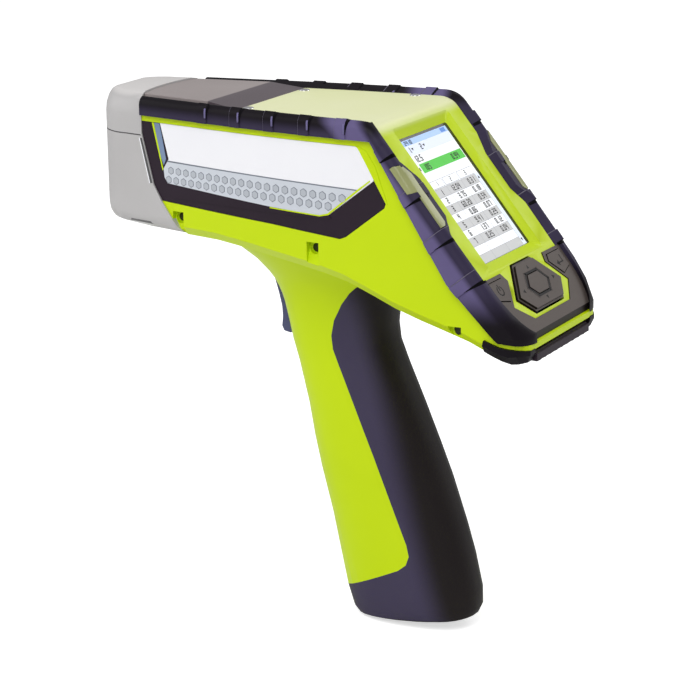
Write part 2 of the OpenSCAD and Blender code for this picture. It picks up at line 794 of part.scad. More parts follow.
module flap_pin_hole(grow) {
    translate([flap_hinge[0], 0, flap_hinge[1]]) rotate([90, 0, 0])
        cylinder(d = flap_pin_d + 2 * grow, h = flap_w + 5, center = true);
}
module flap_pin() color(steel) translate([flap_hinge[0], 0, flap_hinge[1]]) rotate([90, 0, 0])
    cylinder(d = flap_pin_d, h = flap_w + 4.4, center = true);
module port_flap() {
    half = flap_w / 2 - 0.4;
    color(dark) difference() {
        union() {
            side_slab(flap_points, -half, half);
            translate([flap_hinge[0], 0, flap_hinge[1]]) rotate([90, 0, 0])
                cylinder(r = flap_knuckle_r, h = 2 * half, center = true);
            for (i = [-4 : 4])
                side_slab([flap_points[0], flap_points[1] - [0, 0.6], flap_points[2] - [0.6, 0.5],
                    flap_points[3]],
                    i * 5.6 - 1, i * 5.6 + 1);
        }
        flap_pin_hole(run);
    }
}
module flap_room() {
    half = flap_w / 2 + 1;
    side_slab([[rear_x - 13.2, 110], [rear_x + 9, 110], [rear_x + 9, flap_hinge[1]], flap_hinge,
        [flap_hinge[0] - 2, flap_ceiling],
        [rear_x - 13.2, flap_ceiling]], -half, half);
    translate([flap_hinge[0], 0, flap_hinge[1]]) rotate([90, 0, 0])
        cylinder(r = flap_lip_r + 0.3, h = 2 * half, center = true);
}
module port_holes(grow) {
    translate([usb_at[0] - 2 - grow, usb_at[1] - 4 - grow, 120]) cube([4 + 2 * grow, 8 + 2 * grow, 20]);
    translate([jack_at[0], jack_at[1], 120]) cylinder(r = 3 + grow, h = 20);
}
module usb_port() {
    color(steel) translate([usb_at[0], usb_at[1], flap_ceiling + 0.2]) difference() {
        translate([-2, -4, 0]) cube([4, 8, port_h]);
        translate([-1.4, -3.4, -1]) cube([2.8, 6.8, port_h]);
    }
}
module power_jack() {
    color(steel) translate([jack_at[0], jack_at[1], flap_ceiling + 0.2]) {
        difference() {
            cylinder(r = 3, h = port_h);
            translate([0, 0, -1]) cylinder(r = 2.1, h = port_h);
        }
        translate([0, 0, 0.8]) cylinder(r = 0.7, h = port_h - 1.2, $fn = 24);
    }
}

// ---- the nose ----

nose_face_x = nose_x + 1.2;
nose_top = top_z + 0.6;
nose_tip_r = 5.6;
nose_chin_r = 7;
function tip_curve(x, r) = x < nose_face_x + r ? r - sqrt(max(0, r * r - pow(nose_face_x + r - x, 2))) : 0;
nose_flare_x = nose_face_x + nose_corner;
nose_rear_x = nose_joint_x + 27.5;
nose_rear_half = half_at(nose_rear_x) - 0.7;
function nose_half(x) = x < nose_flare_x
    ? nose_half_width - tip_curve(x, nose_corner)
    : nose_half_width + (nose_rear_half - nose_half_width) * (x - nose_flare_x)
        / (nose_rear_x - nose_flare_x);
nose_stations = concat(
    [for (a = [0 : 10 : 90]) nose_flare_x - nose_corner * cos(a)],
    [nose_rear_x - 26, nose_rear_x - 12, nose_rear_x + 3]
);
module nose_form(by) {
    loft([
        for (i = [0 : len(nose_stations) - 1])
            let (
                x = nose_stations[i],
                w = nose_half(x) - by,
                top = nose_top - tip_curve(x, nose_tip_r) - by,
                low = belly_at(x) + 0.3 + tip_curve(x, nose_chin_r) + by,
                r = min(nose_shoulder, w - 0.6),
                c = min(6, w - 0.6)
            )
            [for (p = concat(
                arc([w - r, top - r], r, 0, 90, 4), arc([r - w, top - r], r, 90, 180, 4),
                arc([c - w, low + c], c, 180, 270, 3), arc([w - c, low + c], c, 270, 360, 3)))
                [i == 0 ? x + by : x, p[0], p[1]]]
    ]);
}
module nose_shell(points) {
    color(pale) difference() {
        intersection() {
            nose_form(0);
            side_slab(nose_side);
            side_slab(points);
        }
        nose_form(nose_wall);
        cover_front(seat_gap);
        bracket_room();
        nose_button_hole(key_gap);
    }
}
module nose_upper() nose_shell([[-120, nose_split_z], [-40, nose_split_z], [-40, 240], [-120, 240]]);
module nose_lower() nose_shell([[-120, 150], [-40, 150], [-40, nose_split_z], [-120, nose_split_z]]);
bracket_half = 10;
bracket_low = 184;
bracket_high = 207;
bracket_t = 2.4;
module bracket_box(grow) {
    translate([nose_x - (grow > 0 ? 5 : 0), 0, (bracket_low + bracket_high) / 2]) rotate([90, 0, 90])
        linear_extrude(bracket_t + grow + (grow > 0 ? 5 : 0))
            polygon(soft_box(2 * (bracket_half + grow), bracket_high - bracket_low + 2 * grow, 3));
}
module bracket_room() {
    bracket_box(seat_gap);
    window_bore(window_d + 6, 12);
    for (p = bracket_screws_at) along_x(nose_x, p) cylinder(d = 1.9, h = 8);
}
module along_x(x, p) translate([x, p[0], p[1]]) rotate([0, 90, 0]) children();
module window_bore(d, deep) along_x(nose_x - 1, [0, window_z]) cylinder(d = d, h = deep + 1);
bracket_screws_at = [for (y = [-7.4, 7.4], z = [186.8, 204.2]) [y, z]];
module window_bracket() {
    color(steel) difference() {
        bracket_box(0);
        window_bore(window_d, 8);
        along_x(nose_x + bracket_t - 0.5, [0, window_z]) cylinder(d = window_d + 4, h = 2);
        for (p = bracket_screws_at) {
            along_x(nose_x - 1, p) cylinder(d = 2.2, h = 8);
            along_x(nose_x - 1, p) cylinder(d = 3.8, h = 2);
        }
    }
}
module window_film() color([0.75, 0.6, 0.2]) along_x(nose_x + bracket_t - 0.4, [0, window_z])
    cylinder(d = window_d + 3.6, h = 0.3);
module bracket_screws() {
    color(steel) for (p = bracket_screws_at) {
        along_x(nose_x + 0.1, p) cylinder(d = 3.6, h = 0.8);
        along_x(nose_x + 0.5, p) cylinder(d = 1.8, h = 6);
    }
}
nose_button_z = 177.6;
module nose_button_hole(grow) along_x(nose_x - 1, [0, nose_button_z])
    cylinder(d = nose_button_d + 2 * grow, h = 12);
module nose_button() {
    color(dark) {
        along_x(nose_x, [0, nose_button_z]) cylinder(d = nose_button_d, h = 6);
        along_x(nose_face_x + nose_wall + 0.3, [0, nose_button_z])
            cylinder(d = nose_button_d + 2.4, h = 1);
    }
}

// ---- optics ----

module optics_plate() {
    color(steel) {
        difference() {
            intersection() {
                nose_form(nose_wall + 0.15);
                translate([optics_x, -40, 171]) cube([optics_t, 80, 52]);
            }
            along_x(optics_x - 1, [0, beam_z]) cylinder(d = 8.4, h = 6);
            along_x(optics_x - 1, [pinion_y, pinion_z]) cylinder(d = 2.8, h = 6);
            detector_body(0.15);
        }
        along_x(wheel_x - 0.8, [0, wheel_z]) cylinder(d = 3, h = optics_x - wheel_x + 1.2);
        along_x(wheel_x + wheel_t + 0.3, [0, wheel_z])
            cylinder(d = 5, h = optics_x - wheel_x - wheel_t - 0.2);
    }
}
tube_x = optics_x + optics_t + 0.1;
tube_l = 35.8;
module xray_tube() {
    color(steel) {
        along_x(tube_x, [0, beam_z]) cylinder(d = tube_d, h = tube_l);
        along_x(wheel_x + wheel_t + 0.35, [0, beam_z]) cylinder(d = 8, h = 8);
        for (i = [0 : 4])
            along_x(optics_x + 10 + i * 5, [0, beam_z]) cylinder(d = tube_d + 2, h = 2);
    }
}
detector_l = 17;
module detector_body(grow) {
    translate([nose_x + 9.6, 0, window_z + 9.9]) rotate([0, 45, 0]) translate([0, 0, -grow])
        cylinder(d = detector_d + 2 * grow, h = detector_l + 2 * grow);
}
module detector() color(steel) difference() {
    detector_body(0);
    translate([nose_x + 9.6, 0, window_z + 9.9]) rotate([0, 45, 0]) translate([0, 0, -1])
        cylinder(d = 6, h = 1.6);
}
// A spur gear outline with straight-sided teeth
function gear_points(teeth, slack) =
    let (r = tooth_module * teeth / 2, top = r + tooth_module * 0.9, root = r - tooth_module * 1.15,
        step = 360 / teeth)
    [for (i = [0 : teeth - 1]) each [
        for (q = [[root, -0.33], [r, -0.25 + slack], [top, -0.13], [top, 0.13], [r, 0.25 - slack],
            [root, 0.33]])
            q[0] * [cos(step * (i + q[1])), sin(step * (i + q[1]))]]];
module gear(teeth, turn) rotate([0, 0, turn]) linear_extrude(wheel_t) polygon(gear_points(teeth, 0.03));
filter_ring_r = beam_z - wheel_z;
module filter_wheel() {
    color([0.7, 0.6, 0.35]) along_x(wheel_x, [0, wheel_z]) difference() {
        gear(wheel_teeth, mesh_angle);
        translate([0, 0, -1]) cylinder(d = 3 + 2 * run, h = 5);
        for (i = [0 : 5]) rotate([0, 0, 60 * i + 180]) translate([filter_ring_r, 0, -1])
            cylinder(d = 5.4, h = 5);
    }
}
// In the frame of along_x, x points down and y to the right, so the pinion lies at this angle
mesh_angle = atan2(pinion_y, wheel_z - pinion_z);
module filter_pinion() {
    color([0.75, 0.65, 0.3]) {
        along_x(wheel_x, [pinion_y, pinion_z]) gear(pinion_teeth, mesh_angle + 180 + 180 / pinion_teeth);
        along_x(wheel_x, [pinion_y, pinion_z]) cylinder(d = 2, h = 8);
    }
}
module filter_motor() {
    color(steel) along_x(optics_x + optics_t + 0.1, [pinion_y, pinion_z]) difference() {
        cylinder(d = 8, h = 14);
        translate([0, 0, -1]) cylinder(d = 2 + 2 * run, h = 5);
    }
}

// ---- electronics ----

// Half of the room between the side walls
function inner_half(x) = half_at(x) - side_step - wall;
supply_x = tube_x + tube_l + 2;
supply_l = 57;
supply_h = 20;
supply_z = 169.4;
module high_voltage_supply() {
    half = inner_half(supply_x) - 7.4;
    color([0.55, 0.56, 0.58]) difference() {
        translate([supply_x, -half, supply_z]) cube([supply_l, 2 * half, supply_h]);
        for (side = [-1, 1])
            translate([supply_x - 1, side * half - 1, supply_z + 6]) cube([supply_l + 2, 2, 8]);
    }
}
spreader_x = supply_x + 4;
spreader_z = supply_z + supply_h + 0.3;
spreader_l = 72;
fin_h = 11;
module heat_spreader() {
    half = inner_half(spreader_x) - 5.1;
    color(steel) {
        translate([spreader_x, -half, spreader_z]) cube([spreader_l, 2 * half, 2.6]);
        for (i = [0 : 8])
            translate([spreader_x, -half + i * (half - 1) / 4, spreader_z + 2.5])
                cube([spreader_l, 2, fin_h]);
    }
}
board_x = supply_x - 8;
board_end_x = screen_x - 28.6;
board_z = spreader_z + fin_h + 2.8;
module main_board() {
    half = inner_half(board_x) - 3.1;
    color([0.1, 0.35, 0.2]) translate([board_x, -half, board_z])
        cube([board_end_x - board_x, 2 * half, 1.6]);
    color(dark) for (c = [[10, -18, 16, 12], [40, -8, 22, 20], [70, -14, 10, 26], [14, 6, 14, 10]])
        translate([board_x + c[0], c[1], board_z + 1.6]) cube([c[2], c[3], 2.2]);
}
module touch_screen() {
    color([0.12, 0.13, 0.15]) slope_slab(soft_box(screen_l + 4.2, screen_w + 4, 1), -glass_t - 0.1, -0.1);
}
module display_module() {
    color([0.5, 0.52, 0.54])
        slope_slab(soft_box(screen_l + 5.6, screen_w + 5.4, 1.5), -glass_t - 4.6, -glass_t - 0.15);
}
key_board_off = -5.2;
module key_board() {
    color([0.1, 0.35, 0.2]) slope_slab(
        [[34.6, -30], [60, -26], [60, 26], [34.6, 30]], key_board_off - 1.4, key_board_off);
}
module direction_pad() {
    color(dark) difference() {
        union() {
            slope_slab(inset(pad_points, 0.9), screen_depth, screen_depth + pad_rise);
            slope_slab(pad_points, 1.2, screen_depth + 0.6);
        }
        slope_slab(inset(select_points, -key_gap), -5, 10);
    }
    // legs whose pins turn in the ring below
    color(dark) for (end = [-1, 1]) on_slope() translate([pad_middle + end * (pad_ring_r - 2.4), 0, 0]) {
        translate([-0.7, -1.4, pad_axis - 1.2]) cube([1.4, 2.8, 1.3 - pad_axis + 1.2]);
        translate([0, 0, pad_axis]) rotate([0, 90 * end, 0]) cylinder(d = pad_pin_d, h = 2.3);
    }
}
// A ring that rocks on two trunnions and carries the pad on two bores
module pad_pivot() {
    color(steel) on_slope() translate([pad_middle, 0, 0]) difference() {
        union() {
            translate([0, 0, -4.7]) cylinder(r = pad_ring_r, h = 5.55);
            translate([0, 0, pad_axis]) rotate([90, 0, 0])
                cylinder(d = pad_pin_d, h = 2 * pad_ring_r + 5, center = true);
        }
        translate([0, 0, -6]) cylinder(r = pad_ring_r - 1.2, h = 10);
        translate([0, 0, pad_axis]) rotate([0, 90, 0])
            cylinder(d = pad_pin_d + 2 * run, h = 40, center = true);
    }
}
module select_button() {
    color(dark) slope_slab(select_points, key_board_off + key_travel + 0.1, screen_depth + pad_rise + 0.3);
}
module key(side) {
    color(dark) mirrored(side) {
        slope_slab([for (p = backwards(key_points)) [p[0], -p[1]]], -1.4, screen_depth + 0.7);
        on_slope() translate([43.4, -27.6, key_board_off + key_travel + 0.1]) cylinder(d = 5, h = 4);
    }
}
module power_key() key(-1);
module enter_key() key(1);

// ---- trigger ----

module at_pivot() translate([trigger_pivot[0], 0, trigger_pivot[1]]) rotate([90, 0, 0]) children();
module trigger() {
    color([0.33, 0.34, 0.47]) difference() {
        side_slab(trigger_points, -trigger_half_w, trigger_half_w);
        at_pivot() cylinder(d = trigger_pin_d + 2 * run, h = 20, center = true);
        at_pivot() cylinder(d = 7, h = 4.6, center = true);
        translate([-14.6, -2.3, 138.6]) cube([8, 4.6, 20]);
    }
}
module trigger_pin() color(steel) at_pivot() cylinder(d = trigger_pin_d, h = 24, center = true);
spring_r = trigger_pin_d / 2 + 0.7;
module trigger_spring() {
    color(steel) {
        for (i = [-2 : 2])
            at_pivot() translate([0, 0, i * 0.75]) rotate_extrude($fn = 32) translate([spring_r, 0])
                circle(r = 0.4, $fn = 16);
        translate([trigger_pivot[0] + spring_r, 1.5, trigger_pivot[1] - 10])
            cylinder(r = 0.4, h = 10, $fn = 16);
    }
}
module trigger_switch() {
    color(dark) translate([-10.6, -trigger_half_w - 0.5, 126]) cube([7.4, 2 * trigger_half_w + 1, 12]);
    color(steel) translate([-12.4, 0, 130]) rotate([0, 90, 0]) cylinder(d = 2, h = 2);
}

// ---- battery ----

module battery_cap() {
    color(dark) difference() {
        bay_prism(0, -30, bay_low);
        under_foot();
        along_grip() translate([0, 0, -30]) linear_extrude(20) intersection() {
            square([14, 7], center = true);
        }
    }
}
module battery_pack() color([0.2, 0.2, 0.22]) bay_prism(0, bay_low, bay_low + battery_l);
module battery_contacts() {
    color([0.8, 0.65, 0.3]) along_grip() translate([-9, -6, bay_low + battery_l]) cube([18, 12, 3]);
}

// ---- screws ----

module deck_screws() {
    color(steel) for (side = [-1, 1], s = deck_screws_at) translate([s[0], side * s[1], deck_z]) {
        translate([0, 0, -6]) cylinder(d = deck_screw_d, h = 6.2);
        intersection() {
            translate([0, 0, -2.4]) sphere(d = 7);
            cylinder(d = deck_head_d, h = 3);
        }
    }
}
module housing_screws() {
    color(steel) for (side = [-1, 1], n = notches) mirrored(side)
        translate([n[0], notch_deep + side_step - half_at(n[0]), n[1] - housing_screw_drop])
            rotate([90, 0, 0]) {
            translate([0, 0, -12]) cylinder(d = housing_screw_d, h = 12.5);
            cylinder(d = housing_head_d, h = 1.6);
        }
}

left_housing();
right_housing();
grip();
display_cover();
top_cover();
left_bumper();
right_bumper();
left_side_frame();
right_side_frame();
left_label_plate();
right_label_plate();
left_rear_corner();
right_rear_corner();
nose_upper();
nose_lower();
window_bracket();
window_film();
nose_button();
touch_screen();
display_module();
lower_bezel();
direction_pad();
pad_pivot();
select_button();
power_key();
enter_key();
left_indicator_lens();
right_indicator_lens();
port_flap();
flap_pin();
usb_port();
power_jack();
trigger();
trigger_pin();
trigger_spring();
trigger_switch();
deck_screws();
housing_screws();
bracket_screws();
optics_plate();
xray_tube();
detector();
filter_wheel();
filter_pinion();
filter_motor();
high_voltage_supply();
heat_spreader();
main_board();
key_board();
battery_pack();
battery_cap();
battery_contacts();
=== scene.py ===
import json
import math

import bmesh
import bpy
from mathutils import Matrix, Vector

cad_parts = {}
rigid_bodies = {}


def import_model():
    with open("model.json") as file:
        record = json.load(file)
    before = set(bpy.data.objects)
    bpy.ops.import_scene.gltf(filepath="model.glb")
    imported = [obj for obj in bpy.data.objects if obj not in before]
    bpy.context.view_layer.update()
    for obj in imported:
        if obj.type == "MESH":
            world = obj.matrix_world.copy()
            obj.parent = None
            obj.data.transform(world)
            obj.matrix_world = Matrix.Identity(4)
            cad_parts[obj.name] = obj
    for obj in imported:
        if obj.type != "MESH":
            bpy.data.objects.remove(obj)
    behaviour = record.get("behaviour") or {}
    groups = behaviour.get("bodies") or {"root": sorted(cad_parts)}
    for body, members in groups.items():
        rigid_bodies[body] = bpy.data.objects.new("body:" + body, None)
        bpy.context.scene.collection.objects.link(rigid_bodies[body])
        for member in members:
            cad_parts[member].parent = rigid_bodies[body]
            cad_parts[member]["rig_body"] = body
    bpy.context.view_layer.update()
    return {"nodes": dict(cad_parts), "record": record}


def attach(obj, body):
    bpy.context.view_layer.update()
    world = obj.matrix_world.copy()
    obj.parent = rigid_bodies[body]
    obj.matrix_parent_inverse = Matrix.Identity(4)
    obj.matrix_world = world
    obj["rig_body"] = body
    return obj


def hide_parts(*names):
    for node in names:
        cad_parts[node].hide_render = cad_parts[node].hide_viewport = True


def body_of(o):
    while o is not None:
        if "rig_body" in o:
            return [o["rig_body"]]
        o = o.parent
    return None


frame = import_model()
MM = 0.001
BODY = "analyzer_body"
scene = bpy.context.scene

# ---- the forms that the pieces lie on, in millimetres ----

SLOPE = math.radians(51)  # of the screen, below the horizontal
DOWN = Vector((math.cos(SLOPE), 0, -math.sin(SLOPE)))
OUT = Vector((math.sin(SLOPE), 0, math.cos(SLOPE)))
GLASS = Vector((60.6, 0, 190.1))  # centre of the screen glass
HALF_WIDTH = 43.8
SIDE_RADIUS = 600
WIDEST_X = 59
TAPER_X = -40
GRIP_LEAN = math.radians(15)  # of the handle, from the vertical
SIDE_STEP = 1.8  # from the widest form in to the neon sides
DECK_Z = 222.8
COVER_REFLECTION_X = -45  # where the top cover's painted reflection, lighter in front, gives way to its darker tone behind


def half_at(x):
    """Half width over the bumpers: a long curve that turns into a straight taper."""
    flat = max(x, TAPER_X)
    taper = (WIDEST_X - TAPER_X) / SIDE_RADIUS * (flat - x)
    return HALF_WIDTH - (flat - WIDEST_X) ** 2 / (2 * SIDE_RADIUS) - taper


def on_slope(u, v, w):
    """u down the screen, v across, w out of it."""
    return (GLASS + u * DOWN + w * OUT + Vector((0, v, 0))) * MM


def on_side(side):
    """u along x, v up, w out of the neon side; side is -1 or 1."""
    return lambda u, v, w: Vector((u, side * (half_at(u) - SIDE_STEP + w), v)) * MM


# ---- camera, floor and light ----

LENS = 132.96
SENSOR = 36
FLOOR_SHOWN = 0.62  # what the camera sees of the floor besides its own light
WORLD_LIGHT = 0.42
EYE = Vector((510.84, -942.08, 410.91)) * MM
RIGHT = Vector((0.88320, 0.46884, -0.01259))
UP = Vector((-0.11387, 0.24040, 0.96397))
BACK = Vector((0.45497, -0.84994, 0.26570))


def make_camera():
    data = bpy.data.cameras.new("camera")
    data.lens = LENS
    data.sensor_width = SENSOR
    data.clip_end = 20
    camera = bpy.data.objects.new("camera", data)
    turn = Matrix((RIGHT.normalized(), UP.normalized(), BACK.normalized())).transposed()
    camera.matrix_world = Matrix.Translation(EYE) @ turn.to_4x4()
    scene.collection.objects.link(camera)
    scene.camera = camera


def area_light(name, at, aim, size, power):
    data = bpy.data.lights.new(name, "AREA")
    data.energy = power
    data.size = size
    lamp = bpy.data.objects.new(name, data)
    lamp.location = at
    lamp.rotation_euler = (Vector(aim) - Vector(at)).to_track_quat("-Z", "Y").to_euler()
    scene.collection.objects.link(lamp)


def make_floor():
    """A matt floor that the camera sees as white, with the object's shadow on it."""
    mesh = bpy.data.meshes.new("floor")
    b = bmesh.new()
    bmesh.ops.create_grid(b, x_segments=2, y_segments=2, size=6)
    b.to_mesh(mesh)
    b.free()
    floor = bpy.data.objects.new("floor", mesh)
    scene.collection.objects.link(floor)
    mat = bpy.data.materials.new("floor")
    mat.use_nodes = True
    nodes, links = mat.node_tree.nodes, mat.node_tree.links
    bsdf = nodes["Principled BSDF"]
    bsdf.inputs["Base Color"].default_value = (0.86, 0.86, 0.86, 1)
    bsdf.inputs["Roughness"].default_value = 0.9
    bsdf.inputs["Specular IOR Level"].default_value = 0.0
    path = nodes.new("ShaderNodeLightPath")
    white = nodes.new("ShaderNodeEmission")
    white.inputs["Strength"].default_value = FLOOR_SHOWN
    none = nodes.new("ShaderNodeEmission")
    none.inputs["Strength"].default_value = 0.0
    seen = nodes.new("ShaderNodeMixShader")
    both = nodes.new("ShaderNodeAddShader")
    links.new(path.outputs["Is Camera Ray"], seen.inputs[0])
    links.new(none.outputs[0], seen.inputs[1])
    links.new(white.outputs[0], seen.inputs[2])
    links.new(bsdf.outputs[0], both.inputs[0])
    links.new(seen.outputs[0], both.inputs[1])
    links.new(both.outputs[0], nodes["Material Output"].inputs[0])
    mesh.materials.append(mat)


def make_world():
    world = bpy.data.worlds.new("world")
    scene.world = world
    world.use_nodes = True
    nodes, links = world.node_tree.nodes, world.node_tree.links
    nodes.clear()
    out = nodes.new("ShaderNodeOutputWorld")
    lit = nodes.new("ShaderNodeBackground")
    lit.inputs["Color"].default_value = (1, 1, 1, 1)
    lit.inputs["Strength"].default_value = WORLD_LIGHT
    shown = nodes.new("ShaderNodeBackground")
    shown.inputs["Color"].default_value = (1, 1, 1, 1)
    shown.inputs["Strength"].default_value = 1.0
    mix = nodes.new("ShaderNodeMixShader")
    path = nodes.new("ShaderNodeLightPath")
    links.new(path.outputs["Is Camera Ray"], mix.inputs[0])
    links.new(lit.outputs[0], mix.inputs[1])
    links.new(shown.outputs[0], mix.inputs[2])
    links.new(mix.outputs[0], out.inputs[0])


scene.view_settings.view_transform = "Standard"
make_camera()
make_floor()
make_world()
area_light("key", (0.3, -1.3, 1.6), (0, 0, 0.15), 1.2, 19)
area_light("fill", (-1.5, -0.6, 0.9), (0, 0, 0.12), 1.4, 8)
area_light("back", (0.9, 1.2, 1.2), (0, 0, 0.15), 1.2, 9)

# ---- materials ----


def srgb(r, g, b):
    def lin(c):
        c /= 255
        return c / 12.92 if c <= 0.04045 else ((c + 0.055) / 1.055) ** 2.4

    return (lin(r), lin(g), lin(b), 1)


def material(name, colour, dark, rough, grain, bump, metal=0.0, spec=0.5, **sockets):
    """A broad drift between two colours, with a fine grain in roughness and height."""
    mat = bpy.data.materials.new(name)
    mat.use_nodes = True
    nodes, links = mat.node_tree.nodes, mat.node_tree.links
    bsdf = nodes["Principled BSDF"]
    bsdf.inputs["Metallic"].default_value = metal
    bsdf.inputs["Specular IOR Level"].default_value = spec
    for key, value in sockets.items():
        bsdf.inputs[key.replace("_", " ")].default_value = value
    coords = nodes.new("ShaderNodeTexCoord")
    broad = nodes.new("ShaderNodeTexNoise")
    broad.inputs["Scale"].default_value = 22.0
    broad.inputs["Detail"].default_value = 3.0
    fine = nodes.new("ShaderNodeTexNoise")
    fine.inputs["Scale"].default_value = grain
    fine.inputs["Detail"].default_value = 2.0
    mix = nodes.new("ShaderNodeMix")
    mix.data_type = "RGBA"
    mix.inputs[6].default_value = dark
    mix.inputs[7].default_value = colour
    spread = nodes.new("ShaderNodeMapRange")
    spread.inputs["From Min"].default_value = 0.3
    spread.inputs["From Max"].default_value = 0.7
    rmap = nodes.new("ShaderNodeMapRange")
    rmap.inputs["To Min"].default_value = max(rough - 0.05, 0)
    rmap.inputs["To Max"].default_value = rough + 0.05
    bmp = nodes.new("ShaderNodeBump")
    bmp.inputs["Strength"].default_value = bump
    bmp.inputs["Distance"].default_value = 0.0002
    links.new(coords.outputs["Object"], broad.inputs["Vector"])
    links.new(coords.outputs["Object"], fine.inputs["Vector"])
    links.new(broad.outputs["Fac"], spread.inputs["Value"])
    links.new(spread.outputs["Result"], mix.inputs[0])
    links.new(mix.outputs[2], bsdf.inputs["Base Color"])
    links.new(fine.outputs["Fac"], rmap.inputs["Value"])
    links.new(rmap.outputs["Result"], bsdf.inputs["Roughness"])
    links.new(fine.outputs["Fac"], bmp.inputs["Height"])
    links.new(bmp.outputs["Normal"], bsdf.inputs["Normal"])
    return mat


def steer(mat, colour, dark, build):
    """Mixes a second pair of colours in, by a factor that build() makes from a node tree."""
    nodes, links = mat.node_tree.nodes, mat.node_tree.links
    first = next(n for n in nodes if n.bl_idname == "ShaderNodeMix")
    second = nodes.new("ShaderNodeMix")
    second.data_type = "RGBA"
    second.inputs[6].default_value = dark
    second.inputs[7].default_value = colour
    both = nodes.new("ShaderNodeMix")
    both.data_type = "RGBA"
    links.new(first.inputs[0].links[0].from_socket, second.inputs[0])
    links.new(build(nodes, links), both.inputs[0])
    links.new(first.outputs[2], both.inputs[6])
    links.new(second.outputs[2], both.inputs[7])
    links.new(both.outputs[2], nodes["Principled BSDF"].inputs["Base Color"])
    return mat


def ramp(nodes, links, socket, low, high, to_low=0.0, to_high=1.0):
    step = nodes.new("ShaderNodeMapRange")
    step.interpolation_type = "SMOOTHSTEP"
    step.inputs["From Min"].default_value = low
    step.inputs["From Max"].default_value = high
    step.inputs["To Min"].default_value = to_low
    step.inputs["To Max"].default_value = to_high
    links.new(socket, step.inputs["Value"])
    return step.outputs["Result"]


def times(nodes, links, a, b):
    product = nodes.new("ShaderNodeMath")
    product.operation = "MULTIPLY"
    links.new(a, product.inputs[0])
    links.new(b, product.inputs[1])
    return product.outputs[0]


def split(nodes, links, source):
    """The three parts of the object coordinates or of the surface's own normal."""
    maker = nodes.new("ShaderNodeTexCoord")
    parts = nodes.new("ShaderNodeSeparateXYZ")
    links.new(maker.outputs[source], parts.inputs[0])
    return parts.outputs


def along(nodes, links, source, direction):
    """How far the object coordinates or the normal reach along a direction."""
    coords = nodes.new("ShaderNodeTexCoord")
    reach = nodes.new("ShaderNodeVectorMath")
    reach.operation = "DOT_PRODUCT"
    reach.inputs[1].default_value = direction
    links.new(coords.outputs[source], reach.inputs[0])
    return reach.outputs["Value"]


def grip_side_sheen(nodes, links):
    """Rises on the sides of the handle, in front of its middle line: where the grip's painted violet
    sheen goes.
    """
    turned = nodes.new("ShaderNodeMath")
    turned.operation = "ABSOLUTE"
    links.new(split(nodes, links, "Normal")[1], turned.inputs[0])
    lean = along(nodes, links, "Object", (1, 0, math.tan(GRIP_LEAN)))
    return times(
        nodes, links,
        ramp(nodes, links, turned.outputs[0], 0.45, 0.95),
        ramp(nodes, links, lean, 50 * MM, 64 * MM, 1.0, 0.0),
    )


def key_face_light(nodes, links):
    """Rises where the surface lies parallel to the screen: where painted light makes the keys' faces
    lighter.
    """
    return ramp(nodes, links, along(nodes, links, "Normal", OUT), 0.75, 0.97)


def top_face_light(nodes, links):
    """Rises where the surface lies level: where painted light makes the tops lighter."""
    return ramp(nodes, links, split(nodes, links, "Normal")[2], 0.7, 0.98)


def rail_side_sheen(nodes, links):
    """Rises from the crests of the rails down their sides, more on the slope than on top: where the
    rails' painted violet sheen goes.
    """
    out = along(nodes, links, "Object", OUT)
    height = split(nodes, links, "Object")[2]
    level = GLASS.dot(OUT) * MM
    slope = times(
        nodes, links,
        ramp(nodes, links, out, level - 1.2 * MM, level + 3.2 * MM, 1.0, 0.0),
        ramp(nodes, links, out, level - 15 * MM, level - 8 * MM),
    )
    top = ramp(nodes, links, height, DECK_Z * MM - 5.3 * MM, DECK_Z * MM - 0.3 * MM, 0.25, 0.0)
    most = nodes.new("ShaderNodeMath")
    most.operation = "MAXIMUM"
    links.new(slope, most.inputs[0])
    links.new(top, most.inputs[1])
    above_foot = ramp(nodes, links, height, 146 * MM, 162 * MM)
    return times(nodes, links, most.outputs[0], above_foot)


def along_axis(axis, low, high):
    """Rises between two places along X (0) or Z (2), in millimetres."""
    return lambda nodes, links: ramp(
        nodes, links, split(nodes, links, "Object")[axis], low * MM, high * MM
    )


def lit(name, colour, dark, glow=0.35):
    """A patch of the lit screen."""
    return material(
        name, colour, dark, 0.25, 500, 0.0, spec=0.3, Emission_Color=colour, Emission_Strength=glow
    )


def shade(r, g, b, by):
    return srgb(r * by, g * by, b * by)


